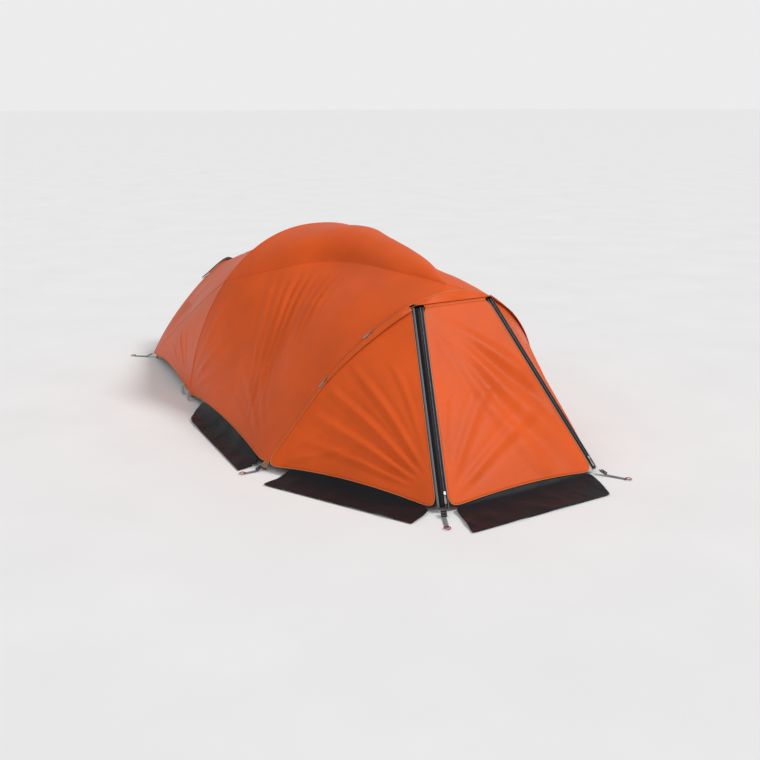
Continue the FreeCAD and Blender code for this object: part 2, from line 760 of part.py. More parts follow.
front_wall = flat_wall(set_in(inner_front, 5), 32).extrude(WALL_BACK * size("cloth"))
front_wall = front_wall.cut(door_outline(0).translated(WALL_BACK * -5).extrude(WALL_BACK * 20))
fixed_shape("inner_front_wall", front_wall)
fixed_shape("inner_door", door_outline(GAP).extrude(WALL_BACK * size("cloth")))
inner_rear_points = [inner_rear(RIDGE["rear"] * i / INNER_CELLS) for i in range(INNER_CELLS + 1)]
inner_rear_points += [roof_bow(inner_rear, RIDGE["rear"])(i / INNER_CELLS) for i in range(INNER_CELLS // 2 + 1)]
inner_rear_points[-1] = inner_rear_points[-2] + (inner_rear_points[-1] - inner_rear_points[-2]) * 0.96
fixed_shape("inner_rear_wall", panel(across_bow(inner_rear_points)))

# ---------------------------------------------------------------- bodies made from sketches


def origin_plane(body, role):
    """One of a body's own origin planes."""
    return next(f for f in body.Origin.OriginFeatures if f.Role == role)


def polygon_sketch(body, name, points):
    """A closed polygon drawn on the body's own XY plane."""
    sketch = body.newObject("Sketcher::SketchObject", name)
    sketch.AttachmentSupport = (origin_plane(body, "XY_Plane"), "")
    sketch.MapMode = "FlatFace"
    for start, end in zip(points, points[1:] + points[:1]):
        sketch.addGeometry(Part.LineSegment(Vector(*start, 0), Vector(*end, 0)), False)
    return sketch


def pad(body, name, sketch, alias):
    """A pad whose height is bound to the sheet."""
    feature = body.newObject("PartDesign::Pad", name)
    feature.Profile = sketch
    feature.setExpression("Length", f"Dimensions.{alias}")
    return feature


def body_with_pad(name, points, alias):
    """A body made by one padded polygon."""
    body = DOC.addObject("PartDesign::Body", name)
    pad(body, f"{name}_pad", polygon_sketch(body, f"{name}_outline", points), alias)
    return body


def frame_at(origin, x_way, z_way):
    """A placement with its X along one direction and its Z near another."""
    x_axis = x_way.normalize()
    y_axis = z_way.cross(x_axis).normalize()
    return Placement(origin, Rotation(x_axis, y_axis, x_axis.cross(y_axis), "XYZ"))


# ---------------------------------------------------------------- groundsheet

def tub_outline(shrink):
    """The groundsheet's six corners on the ground, shrunk by a margin."""
    corners = [(size("floor_front_half"), size("floor_front_y"), 1), (size("floor_mid_half"), size("floor_mid_y"), 0),
               (size("floor_rear_half"), size("floor_rear_y"), -1)]
    right = [(half - shrink, y + shrink * way) for half, y, way in corners]
    return right + [(-x, y) for x, y in reversed(right)]


groundsheet = body_with_pad("groundsheet_body", tub_outline(0), "tub_height")
hollow_sketch = polygon_sketch(groundsheet, "tub_hollow", tub_outline(size("cloth")))
hollow_sketch.AttachmentOffset = Placement(Vector(0, 0, size("tub_height")), Rotation())
DOC.recompute()
hollow = groundsheet.newObject("PartDesign::Pocket", "tub_pocket")
hollow.Profile = hollow_sketch
hollow.setExpression("Length", "Dimensions.tub_height - Dimensions.cloth")
DOC.recompute()
keep(groundsheet, "groundsheet")

# ---------------------------------------------------------------- zip sliders and their pulls


def slider_outline():
    """A zip slider seen from above: two shoulders and a narrower tail."""
    long, wide = size("slider_long"), size("slider_wide")
    return [(0, -wide * 0.28), (long * 0.2, -wide / 2), (long * 0.7, -wide / 2), (long, -wide * 0.3),
            (long, wide * 0.3), (long * 0.7, wide / 2), (long * 0.2, wide / 2), (0, wide * 0.28)]


def pull_outline():
    """A pull tab seen from above, with a broad end."""
    long, wide = size("pull_long"), size("pull_wide")
    return [(0, -wide * 0.3), (long * 0.25, -wide * 0.34), (long * 0.5, -wide / 2), (long * 0.93, -wide / 2),
            (long, -wide * 0.36), (long, wide * 0.36), (long * 0.93, wide / 2), (long * 0.5, wide / 2),
            (long * 0.25, wide * 0.34), (0, wide * 0.3)]


PULL_GAP = 3.1


def zip_slider(name, place):
    """A slider, its pull tab lying flat down the cloth below it, and the axis that the pull swings on."""
    slider = body_with_pad(f"{name}_slider_body", slider_outline(), "slider_high")
    slider.Placement = place
    keep(slider, f"{name}_slider")
    pull = body_with_pad(f"{name}_pull_body", pull_outline(), "pull_thick")
    nose, rise = size("slider_long") + PULL_GAP, size("slider_high") * 0.4
    pull.Placement = place.multiply(Placement(Vector(nose, 0, rise), Rotation()))
    keep(pull, f"{name}_pull")
    pin = place.multVec(Vector(nose, 0, rise + size("pull_thick") / 2))
    swing = place.Rotation.multVec(Vector(0, -1, 0))
    print("joint", f"{name}_pull_swing", [round(c / 1000, 6) for c in pin], [round(c, 6) for c in swing])


ARC_STEP = size("hoop_top_radius") - size("hoop_side_radius")
SHOULDER = math.radians(size("hoop_top_angle"))
SIDE_CENTRE_OUT = ARC_STEP * math.sin(SHOULDER)
SIDE_CENTRE_RISE = HOOP_HEIGHT - size("hoop_top_radius") + ARC_STEP * math.cos(SHOULDER)
SLIDER_LIFT = 3.4


def on_side_arc(sign, degrees, lift):
    """A place on the hoop's long side arc, its outward direction and its downward direction."""
    angle = math.radians(degrees)
    outward = RIGHT * (sign * math.sin(angle)) + HOOP_UP * math.cos(angle)
    down = RIGHT * (sign * math.cos(angle)) - HOOP_UP * math.sin(angle)
    centre = on_hoop_plane(sign * SIDE_CENTRE_OUT, SIDE_CENTRE_RISE)
    return centre + outward * (size("hoop_side_radius") + lift), outward, down


for side, sign in SIDES:
    centre = on_hoop_plane(sign * SIDE_CENTRE_OUT, SIDE_CENTRE_RISE)
    for level, degrees in (("upper", 42), ("lower", 57)):
        place, outward, down = on_side_arc(sign, degrees, SLIDER_LIFT)
        zip_slider(f"hoop_{level}_{side}", frame_at(place, down, outward))
        turn = HOOP_BACK * -sign
        pivot = [round(c / 1000, 6) for c in centre]
        print("joint", f"hoop_{level}_{side}_travel", pivot, [round(c, 6) for c in turn])
    out = Vector(-sign * front_out.x, front_out.y, front_out.z)
    way = Vector(-sign * band_way.x, band_way.y, band_way.z)
    wing = Vector(-sign * front_way.x, front_way.y, front_way.z)
    foot = Vector(-sign * CORNER_PORCH.x, CORNER_PORCH.y, CORNER_PORCH.z)
    place = foot + way * 80 + wing * (size("band_half") * 0.5) + out * 0.6
    zip_slider(f"front_{side}", frame_at(place, way * -1, out))
    print("joint", f"front_{side}_travel", [0, 0, 0], [round(c, 6) for c in way])
    edge = foot + Vector(-sign * side_way.x, side_way.y, side_way.z) * (size("band_half") + 1)
    print("joint", f"porch_side_door_{side}_swing", [round(c / 1000, 6) for c in edge],
          [round(-sign * c, 6) for c in way])
print("joint", "porch_front_door_lift", [0, PORCH_TOP.y / 1000, PORCH_TOP.z / 1000], [-1, 0, 0])
print("joint", "inner_door_drop", [0, round(door_base.y / 1000, 6), round(door_base.z / 1000, 6)], [-1, 0, 0])

# ---------------------------------------------------------------- rear vent hood

HOOD_LONG = 190
HOOD_SPREAD = 0.1
hood_hinge = rear_bow(0.5) + Vector(0, 9, 9)
hood_way = Vector(0, math.cos(math.radians(30)), -math.sin(math.radians(30)))
hood_normal = Vector(0, math.sin(math.radians(30)), math.cos(math.radians(30)))


def hood_grid():
    """The hood: it follows the rear bow where it is sewn on, and is rounded at its free edge."""
    rows = []
    for j in range(6):
        reach = j / 5
        row = []
        for i in range(9):
            out = i / 4 - 1
            base = rear_bow(0.5 + HOOD_SPREAD * out) + Vector(0, 9, 9)
            long = HOOD_LONG * reach * (1 - 0.4 * out * out)
            row.append(base + RIGHT * (18 * out * reach) + hood_way * long)
        rows.append(row)
    return flip(rows)


hood_rows = hood_grid()
hood_back = [[p - hood_normal * size("cloth") for p in row] for row in hood_rows]
fixed_shape("rear_vent_hood", cloth_between(hood_rows, hood_back))
RIM_DROP = 9.5
rim = spline([p - hood_normal * (size("cloth") + RIM_DROP) - hood_way * 8 for p in hood_rows[-1]])
group("vent_stiffener", [tube(two_arcs(rim, low, high), rim(low), heading(rim, low), size("stiffener_radius"))
                         for low, high in ((0.01, 0.25), (0.25, 0.5), (0.5, 0.75), (0.75, 0.99))])
print("joint", "rear_vent_hood_tilt", [round(c / 1000, 6) for c in hood_hinge - hood_normal * 0.75], [1, 0, 0])

# ---------------------------------------------------------------- straps, buckles, loops, clips and tied cords

STRAP_ENDS = {
    "porch": (CORNER_PORCH, Vector(-552, -1886, 0)),
    "hoop": (CORNER_HOOP, Vector(-1035, -800, 0)),
    "rear": (CORNER_REAR, Vector(-712, 1862, 0)),
}


def strap_parts(name, sign):
    """A corner strap from the hem down to the ground, its ladder buckle and its stake loop."""
    top, end = STRAP_ENDS[name]
    half, thick = size("strap_wide") / 2, size("strap_thick")
    out = Vector(end.x - top.x, end.y - top.y, 0).normalize()
    wide = Vector(-out.y, out.x, 0) * half
    start = top + out * 8 - UP * 6
    knee = Vector(start.x, start.y, 0) + out * 44 + UP * 4
    toe = Vector(end.x, end.y, 2)
    low = [[start + wide, start - wide], [knee + wide, knee - wide], [toe + wide, toe - wide]]
    high = [[p + UP * thick for p in row] for row in low]
    strap = cloth_between(high, low)
    if strap.Volume < 0:
        strap.reverse()
    centre = (start + knee) * 0.5
    run = (knee - start).normalize()
    normal = run.cross(wide).normalize()
    if normal.z < 0:
        normal = normal * -1
    block = Part.makeBox(size("buckle_long"), size("buckle_wide"), size("buckle_thick"),
                         Vector(-size("buckle_long") / 2, -size("buckle_wide") / 2, 0))
    for hole in (-1, 1):
        block = block.cut(Part.makeBox(8, size("buckle_wide") - 7, 20,
                                       Vector(hole * 8.5 - 4, -size("buckle_wide") / 2 + 3.5, -5)))
    block.Placement = frame_at(centre + normal * (thick + 0.6), run, normal)
    loop = Part.makeTorus(15, 2.2, Vector(0, 0, 0), UP)
    loop.Placement = Placement(Vector(end.x, end.y, 6.4) + out * 9, Rotation())
    parts = [strap, block, loop]
    if sign > 0:
        parts = [shape.mirror(ORIGIN, RIGHT) for shape in parts]
    return parts


straps, buckles, loops = [], [], []
for name in STRAP_ENDS:
    for side, sign in SIDES:
        strap, buckle, loop = strap_parts(name, sign)
        straps.append(strap)
        buckles.append(buckle)
        loops.append(loop)
group("corner_straps", straps)
group("corner_buckles", buckles)
group("stake_loops", loops)

clips = []
CLIP_GAP = 12
for curve, drop, shares in ((arch, 0, (0.14, 0.26, 0.38, 0.5)), (rear_bow, REAR_POLE_DROP, (0.3, 0.5))):
    for share in shares:
        for place in {share, 1 - share}:
            point = curve(place)
            way = inward(point)
            clips.append(Part.makeCylinder(3.2, 30, point + way * (DEPTH + drop + POLE + CLIP_GAP), way))
group("canopy_clips", clips)


def hank(label, corner, sign):
    """A tied-up guy cord that hangs from the hem near the middle corner."""
    long, wide, thick = size("hank_long"), size("hank_wide"), size("hank_thick")
    box = Part.makeBox(thick, wide, long, Vector(sign * corner.x - thick / 2, corner.y - wide / 2, corner.z))
    return fixed_shape(label, box.makeFillet(thick * 0.45, box.Edges))


for side, sign in SIDES:
    hank(f"guy_cord_front_{side}", Vector(800, 560, 1), sign)
    hank(f"guy_cord_rear_{side}", Vector(775, 720, 1), sign)

# ---------------------------------------------------------------- check and write

DOC.recompute()
for feature in DOC.Objects:
    if set(feature.State) & {"Invalid", "Error"}:
        raise RuntimeError(f"{feature.Label} did not recompute: {feature.State}")
for feature in SUBPARTS:
    if feature.Shape.isNull() or not feature.Shape.isValid():
        raise RuntimeError(f"{feature.Label} has no valid shape")
os.makedirs("parts", exist_ok=True)
for feature in SUBPARTS:
    feature.Shape.exportStep(f"parts/{feature.Label}.step")
    print(feature.Label, round(feature.Shape.Volume / 1000, 2), len(feature.Shape.Solids))
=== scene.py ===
import math

import bmesh
import bpy
from bpy.props import FloatProperty, FloatVectorProperty, IntProperty, PointerProperty
from mathutils import Matrix, Vector, kdtree, noise


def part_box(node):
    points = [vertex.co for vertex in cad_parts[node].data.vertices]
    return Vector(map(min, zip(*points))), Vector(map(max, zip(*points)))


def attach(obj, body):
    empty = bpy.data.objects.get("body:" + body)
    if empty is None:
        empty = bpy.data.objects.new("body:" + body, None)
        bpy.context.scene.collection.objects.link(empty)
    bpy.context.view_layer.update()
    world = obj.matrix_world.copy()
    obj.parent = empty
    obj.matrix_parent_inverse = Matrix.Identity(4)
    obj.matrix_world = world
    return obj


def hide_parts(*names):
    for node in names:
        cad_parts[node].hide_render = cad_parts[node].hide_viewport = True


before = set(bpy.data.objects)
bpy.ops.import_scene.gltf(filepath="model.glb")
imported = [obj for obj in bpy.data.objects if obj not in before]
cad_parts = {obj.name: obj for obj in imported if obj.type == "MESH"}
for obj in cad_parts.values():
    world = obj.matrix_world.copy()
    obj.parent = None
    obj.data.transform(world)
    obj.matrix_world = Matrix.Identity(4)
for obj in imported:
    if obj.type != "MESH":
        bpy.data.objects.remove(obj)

bl_info = {
    "name": "Mountain Tent",
    "version": (1, 0, 0),
    "blender": (4, 5, 0),
    "location": "View3D > Sidebar > Tent",
    "description": "Cloth, seams, zips, straps and finishes of a two-person tent, built round its frame",
    "category": "Object",
}

SIDES = (("left", -1), ("right", 1))
CORE_FRONT = Vector((0, -1.0, 0.25))
CORE_REAR = Vector((0, 1.15, 0.18))
UP = Vector((0, 0, 1))
FORWARD = Vector((0, -0.93, -0.36))


# ------------------------------------------------------------------ sizes and colours

def length(name, description, default):
    """A length that a user may change."""
    return FloatProperty(name=name, description=description, default=default, unit="LENGTH")


def colour(name, description, default):
    """A colour that a user may change."""
    return FloatVectorProperty(name=name, description=description, default=default, subtype="COLOR", size=3,
                               min=0, max=1)


class TentSizes(bpy.types.PropertyGroup):
    """Sizes of the sewn and moulded detail."""
    cloth: length("Cloth", "Thickness that the fly's cloth is drawn with", 0.0012)
    fold: length("Folds", "Height of the tension folds in the fly", 0.007)
    seam: length("Seam", "Radius of the rolled seam over each pole", 0.0024)
    binding: length("Binding", "Radius of the bound edge along each hem", 0.0026)
    smoothing: IntProperty(name="Smoothing", description="Subdivision steps of the fly", default=3, min=1,
                           max=4)


class TentColours(bpy.types.PropertyGroup):
    """Colours of the cloths and fittings."""
    fly: colour("Fly", "Coated nylon of the fly", (0.78, 0.108, 0.014))
    dark: colour("Dark cloth", "Snow flaps and zip bands", (0.009, 0.009, 0.012))
    inner: colour("Inner cloth", "Breathable cloth of the inner tent", (0.62, 0.50, 0.30))
    floor: colour("Groundsheet", "Coated cloth of the floor", (0.045, 0.05, 0.06))
    grey: colour("Pulls and webbing", "Grey rubber and webbing", (0.22, 0.23, 0.245))
    red: colour("Stake loops", "Red cord of the stake loops", (0.35, 0.035, 0.025))
    pole: colour("Poles", "Anodised alloy", (0.62, 0.45, 0.20))


def sizes():
    """The sizes in use."""
    return bpy.context.scene.tent_sizes


def colours():
    """The colours in use."""
    return bpy.context.scene.tent_colours


# ------------------------------------------------------------------ shader groups

def new_group(name, inputs, outputs):
    """An empty shader group with its sockets, or None where it has been built already."""
    if name in bpy.data.node_groups:
        return None
    tree = bpy.data.node_groups.new(name, "ShaderNodeTree")
    for label, kind, default in inputs:
        socket = tree.interface.new_socket(name=label, in_out="INPUT", socket_type=kind)
        if default is not None:
            socket.default_value = default
    for label, kind in outputs:
        tree.interface.new_socket(name=label, in_out="OUTPUT", socket_type=kind)
    return tree


def node(tree, kind, links=(), **settings):
    """A node with its settings; links are (input, socket or value)."""
    made = tree.nodes.new(kind)
    for key, value in settings.items():
        setattr(made, key, value)
    for key, value in links:
        if isinstance(value, bpy.types.NodeSocket):
            tree.links.new(value, made.inputs[key])
        else:
            made.inputs[key].default_value = value
    return made


def maths(tree, operation, first, second=0.0, third=None):
    """One sum in a node tree."""
    made = node(tree, "ShaderNodeMath", [(0, first), (1, second)], operation=operation)
    if third is not None:
        made.inputs[2].default_value = third
    return made.outputs[0]


def weave_group():
    """Ripstop: a fine plain weave crossed by a grid of thicker threads, on the cloth's own UV."""
    name = "Ripstop Weave"
    tree = new_group(name, [("Vector", "NodeSocketVector", None), ("Threads", "NodeSocketFloat", 900.0),
                            ("Squares", "NodeSocketFloat", 170.0)],
                     [("Height", "NodeSocketFloat"), ("Grid", "NodeSocketFloat")])
    if tree is None:
        return bpy.data.node_groups[name]
    start = node(tree, "NodeGroupInput")
    split = node(tree, "ShaderNodeSeparateXYZ", [(0, start.outputs["Vector"])])
    heights, grids = [], []
    for axis in (0, 1):
        threads = maths(tree, "MULTIPLY", split.outputs[axis], start.outputs["Threads"])
        heights.append(maths(tree, "ABSOLUTE", maths(tree, "SINE", threads)))
        squares = maths(tree, "FRACT", maths(tree, "MULTIPLY", split.outputs[axis], start.outputs["Squares"]))
        edge = maths(tree, "ABSOLUTE", maths(tree, "SUBTRACT", squares, 0.5))
        grids.append(maths(tree, "SMOOTH_MAX", maths(tree, "SUBTRACT", edge, 0.40), 0.0, 0.02))
    weave = maths(tree, "MULTIPLY", heights[0], heights[1])
    grid = maths(tree, "MINIMUM", maths(tree, "MULTIPLY", maths(tree, "ADD", grids[0], grids[1]), 10.0), 1.0)
    height = maths(tree, "ADD", maths(tree, "MULTIPLY", weave, 0.35), grid)
    end = node(tree, "NodeGroupOutput")
    tree.links.new(height, end.inputs["Height"])
    tree.links.new(grid, end.inputs["Grid"])
    return tree


def wear_group():
    """Soft cloudy variation and faint creases, as on cloth that has been packed and pitched."""
    name = "Cloth Wear"
    tree = new_group(name, [("Vector", "NodeSocketVector", None), ("Scale", "NodeSocketFloat", 3.0)],
                     [("Cloud", "NodeSocketFloat"), ("Crease", "NodeSocketFloat")])
    if tree is None:
        return bpy.data.node_groups[name]
    start = node(tree, "NodeGroupInput")
    cloud = node(tree, "ShaderNodeTexNoise", [("Vector", start.outputs["Vector"]),
                                              ("Scale", start.outputs["Scale"]),
                                              ("Detail", 4.0), ("Roughness", 0.55)])
    finer = maths(tree, "MULTIPLY", start.outputs["Scale"], 4.0)
    bend = node(tree, "ShaderNodeTexNoise", [("Vector", start.outputs["Vector"]), ("Scale", finer),
                                             ("Detail", 2.0), ("Distortion", 1.2)])
    ridge = maths(tree, "ABSOLUTE", maths(tree, "SUBTRACT", bend.outputs["Fac"], 0.5))
    crease = maths(tree, "SUBTRACT", 1.0, maths(tree, "MINIMUM", maths(tree, "MULTIPLY", ridge, 9.0), 1.0))
    end = node(tree, "NodeGroupOutput")
    tree.links.new(cloud.outputs["Fac"], end.inputs["Cloud"])
    tree.links.new(crease, end.inputs["Crease"])
    return tree


def grouped(tree, group, links):
    """A group placed in a material."""
    made = node(tree, "ShaderNodeGroup", node_tree=group)
    for key, value in links:
        if isinstance(value, bpy.types.NodeSocket):
            tree.links.new(value, made.inputs[key])
        else:
            made.inputs[key].default_value = value
    return made


def shade(base, factor):
    """A colour made lighter or darker."""
    return tuple(min(channel * factor, 1.0) for channel in base) + (1.0,)


def new_material(name):
    """A material with an empty tree, its Principled shader and its output."""
    made = bpy.data.materials.new(name)
    made.use_nodes = True
    tree = made.node_tree
    shader = tree.nodes["Principled BSDF"]
    return made, tree, shader


def mixed(tree, factor, low, high):
    """A colour between two others."""
    made = node(tree, "ShaderNodeMix", data_type="RGBA")
    tree.links.new(factor, made.inputs["Factor"])
    made.inputs[6].default_value = low
    made.inputs[7].default_value = high
    return made.outputs[2]


def ranged(tree, value, low, high):
    """A value spread over a range."""
    made = node(tree, "ShaderNodeMapRange", [("Value", value), ("From Min", 0.3), ("From Max", 0.7),
                                             ("To Min", low), ("To Max", high)])
    return made.outputs[0]


def cloth_material(name, base, rough=0.5, sheen=0.04, grid=0.25, bump=0.35, contrast=0.10, coords="UV"):
    """A woven cloth: weave and ripstop grid in its relief, soft clouds in its colour and gloss."""
    if name in bpy.data.materials:
        return bpy.data.materials[name]
    made, tree, shader = new_material(name)
    place = node(tree, "ShaderNodeTexCoord")
    weave = grouped(tree, weave_group(), [("Vector", place.outputs[coords])])
    wear = grouped(tree, wear_group(), [("Vector", place.outputs["Object"])])
    cloudy = mixed(tree, ranged(tree, wear.outputs["Cloud"], 0.0, 1.0), shade(base, 1 - contrast),
                   shade(base, 1 + contrast))
    lined = node(tree, "ShaderNodeMix", data_type="RGBA", blend_type="MULTIPLY")
    tree.links.new(maths(tree, "MULTIPLY", weave.outputs["Grid"], grid), lined.inputs["Factor"])
    tree.links.new(cloudy, lined.inputs[6])
    lined.inputs[7].default_value = (0.72, 0.72, 0.72, 1)
    tree.links.new(lined.outputs[2], shader.inputs["Base Color"])
    gloss = ranged(tree, wear.outputs["Cloud"], rough - 0.06, rough + 0.08)
    tree.links.new(gloss, shader.inputs["Roughness"])
    relief = node(tree, "ShaderNodeBump", [("Height", weave.outputs["Height"]), ("Strength", bump),
                                           ("Distance", 0.0004)])
    soft = node(tree, "ShaderNodeBump", [("Height", wear.outputs["Crease"]), ("Strength", 0.07),
                                         ("Distance", 0.004), ("Normal", relief.outputs[0])])
    tree.links.new(soft.outputs[0], shader.inputs["Normal"])
    shader.inputs["Sheen Weight"].default_value = sheen
    shader.inputs["Sheen Roughness"].default_value = 0.45
    shader.inputs["Specular IOR Level"].default_value = 0.14
    return made


def moulded_material(name, base, rough=0.45, metallic=0.0, grain=600.0, bump=0.15, wear=0.10, coat=0.0):
    """Moulded plastic, rubber or metal: fine grain, soft variation, and a slightly uneven gloss."""
    if name in bpy.data.materials:
        return bpy.data.materials[name]
    made, tree, shader = new_material(name)
    place = node(tree, "ShaderNodeTexCoord")
    clouds = grouped(tree, wear_group(), [("Vector", place.outputs["Object"]), ("Scale", 40.0)])
    fine = node(tree, "ShaderNodeTexNoise", [("Vector", place.outputs["Object"]), ("Scale", grain),
                                             ("Detail", 3.0)])
    tone = mixed(tree, ranged(tree, clouds.outputs["Cloud"], 0.0, 1.0), shade(base, 1 - wear),
                 shade(base, 1 + wear))
    tree.links.new(tone, shader.inputs["Base Color"])
    gloss = ranged(tree, clouds.outputs["Cloud"], rough - 0.07, rough + 0.09)
    tree.links.new(gloss, shader.inputs["Roughness"])
    relief = node(tree, "ShaderNodeBump", [("Height", fine.outputs["Fac"]), ("Strength", bump),
                                           ("Distance", 0.0003)])
    tree.links.new(relief.outputs[0], shader.inputs["Normal"])
    shader.inputs["Metallic"].default_value = metallic
    shader.inputs["Coat Weight"].default_value = coat
    return made


# ------------------------------------------------------------------ cloth from the frame

def outward(point):
    """The direction from the tent's core line to a place."""
    share = (point.y - CORE_FRONT.y) / (CORE_REAR.y - CORE_FRONT.y)
    core = CORE_FRONT.lerp(CORE_REAR, min(max(share, 0), 1))
    return (point - core).normalized()


def outer_skin(name, facing=outward, least=0.2):
    """The outer surface of a panel of the frame, as a mesh of its own."""
    mesh = bmesh.new()
    mesh.from_mesh(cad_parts[name].data)
    bmesh.ops.remove_doubles(mesh, verts=mesh.verts, dist=0.0003)
    mesh.normal_update()
    hidden = [f for f in mesh.faces if f.normal.dot(facing(f.calc_center_median())) < least]
    bmesh.ops.delete(mesh, geom=hidden, context="FACES")
    square_up(mesh)
    return mesh


def square_up(mesh):
    """Joins a grid's triangles in pairs, into the four-sided cells that it was cut into."""
    bmesh.ops.join_triangles(mesh, faces=mesh.faces, angle_face_threshold=0.7, angle_shape_threshold=1.4)


def lay_flat(mesh):
    """Gives a panel its UV: its own plane, in metres, with U level."""
    layer = mesh.loops.layers.uv.verify()
    normal = sum((f.normal * f.calc_area() for f in mesh.faces), Vector()).normalized()
    level = UP.cross(normal)
    level = level.normalized() if level.length > 0.05 else Vector((1, 0, 0))
    rise = normal.cross(level)
    for face in mesh.faces:
        for loop in face.loops:
            loop[layer].uv = (loop.vert.co.dot(level), loop.vert.co.dot(rise))


def add_object(name, mesh, material=None):
    """An object for a finished mesh, at the origin."""
    data = bpy.data.meshes.new(name)
    mesh.to_mesh(data)
    mesh.free()
    made = bpy.data.objects.new(name, data)
    bpy.context.scene.collection.objects.link(made)
    if material:
        data.materials.append(material)
    return made


def settled(obj):
    """The object's mesh with its modifiers applied, as a bmesh; the object goes."""
    depsgraph = bpy.context.evaluated_depsgraph_get()
    depsgraph.update()
    data = bpy.data.meshes.new_from_object(obj.evaluated_get(depsgraph))
    mesh = bmesh.new()
    mesh.from_mesh(data)
    bpy.data.objects.remove(obj, do_unlink=True)
    bpy.data.meshes.remove(data)
    return mesh


def joined(meshes):
    """Several panels sewn into one sheet. The seams are the edges where two panels meet."""
    whole = bmesh.new()
    whole.faces.layers.int.new("panel")
    whole.loops.layers.uv.verify()
    for number, mesh in enumerate(meshes):
        data = bpy.data.meshes.new("panel")
        layer = mesh.faces.layers.int.new("panel")
        for face in mesh.faces:
            face[layer] = number
        mesh.to_mesh(data)
        mesh.free()
        whole.from_mesh(data)
        bpy.data.meshes.remove(data)
    bmesh.ops.remove_doubles(whole, verts=whole.verts, dist=0.0012)
    return whole


def seam_edges(mesh):
    """The edges along which two panels are sewn together."""
    layer = mesh.faces.layers.int["panel"]
    shared = [e for e in mesh.edges if len(e.link_faces) == 2]
    return [e for e in shared if e.link_faces[0][layer] != e.link_faces[1][layer]]


def chains(edges):
    """Edges put in order, as open or closed runs of points, split where more than two meet."""
    linked = {}
    for edge in edges:
        for vert in edge.verts:
            linked.setdefault(vert, []).append(edge)
    left, runs = set(edges), []

    def follow(vert, edge):
        run = [vert]
        while edge in left:
            left.discard(edge)
            vert = edge.other_vert(vert)
            run.append(vert)
            if len(linked[vert]) != 2:
                break
            edge = next((e for e in linked[vert] if e in left), edge)
        return [v.co.copy() for v in run]

    for vert, around in linked.items():
        if len(around) != 2:
            runs += [follow(vert, e) for e in around if e in left]
    while left:
        edge = next(iter(left))
        runs.append(follow(edge.verts[0], edge))
    return runs


def swell(value, width):
    """A rounded crest with a shallow trough on each side."""
    at = value / width
    return math.exp(-at * at) - 0.42 * math.exp(-((abs(at) - 1.9) / 0.9) ** 2)


def rising(value, low, high):
    """0 below low, 1 above high, and smooth between."""
    share = min(max((value - low) / (high - low), 0), 1)
    return share * share * (3 - 2 * share)


def smooth_faces(mesh):
    """Smooth shading."""
    for face in mesh.faces:
        face.smooth = True


# ------------------------------------------------------------------ sewn cloth

def slot_material(slot):
    """The material for one of the record's finishes."""
    tint = colours()
    makers = {
        "fly_orange": lambda: cloth_material("Fly Cloth", tint.fly, rough=0.40, sheen=0.03),
        "flap_black": lambda: cloth_material("Flap Cloth", tint.dark, rough=0.42, sheen=0.05, grid=0.1),
        "band_black": lambda: cloth_material("Band Cloth", tint.dark, rough=0.5, sheen=0.05, grid=0.0),
        "inner_cloth": lambda: cloth_material("Inner Cloth", tint.inner, rough=0.6, sheen=0.1, grid=0.2),
        "groundsheet": lambda: cloth_material("Groundsheet Cloth", tint.floor, rough=0.35, sheen=0.1),
        "inner_mesh": lambda: net_material("Inner Net", (0.08, 0.08, 0.09)),
        "vent_mesh": lambda: net_material("Vent Net", (0.03, 0.03, 0.035)),
        "binding": lambda: cloth_material("Binding Tape", (0.66, 0.22, 0.08), rough=0.6, grid=0.0),
        "piping": lambda: cloth_material("Grey Piping", (0.20, 0.195, 0.22), rough=0.5, grid=0.0,
                                         coords="Object"),
        "zip_tape": lambda: moulded_material("Zip Coil", (0.045, 0.045, 0.055), rough=0.42, grain=900),
        "pole_alloy": lambda: moulded_material("Pole Alloy", tint.pole, rough=0.28, metallic=1.0, bump=0.05),
        "ferrule_metal": lambda: moulded_material("Ferrule Metal", (0.60, 0.61, 0.63), rough=0.3,
                                                  metallic=1.0),
        "elastic_cord": lambda: moulded_material("Elastic Cord", (0.05, 0.05, 0.055), rough=0.8, bump=0.4),
        "tip_metal": lambda: moulded_material("Tip Metal", (0.50, 0.51, 0.53), rough=0.35, metallic=1.0),
        "grommet_brass": lambda: moulded_material("Grommet Brass", (0.62, 0.43, 0.17), rough=0.3,
                                                  metallic=1.0),
        "webbing": lambda: webbing_material("Grey Webbing", tint.grey),
        "black_plastic": lambda: moulded_material("Black Plastic", (0.018, 0.018, 0.020), rough=0.38,
                                                  coat=0.1),
        "loop_red": lambda: moulded_material("Red Loop", tint.red, rough=0.7, grain=1400, bump=0.5),
        "clip_plastic": lambda: moulded_material("Clip Plastic", (0.025, 0.025, 0.028), rough=0.4),
        "guy_cord": lambda: moulded_material("Guy Cord", (0.50, 0.51, 0.52), rough=0.75, grain=1800,
                                             bump=0.6),
        "slider_metal": lambda: moulded_material("Slider Metal", (0.35, 0.36, 0.38), rough=0.32,
                                                 metallic=1.0),
        "pull_grey": lambda: moulded_material("Pull Rubber", (0.26, 0.26, 0.28), rough=0.6, grain=1200,
                                              bump=0.3),
    }
    return makers[slot]()


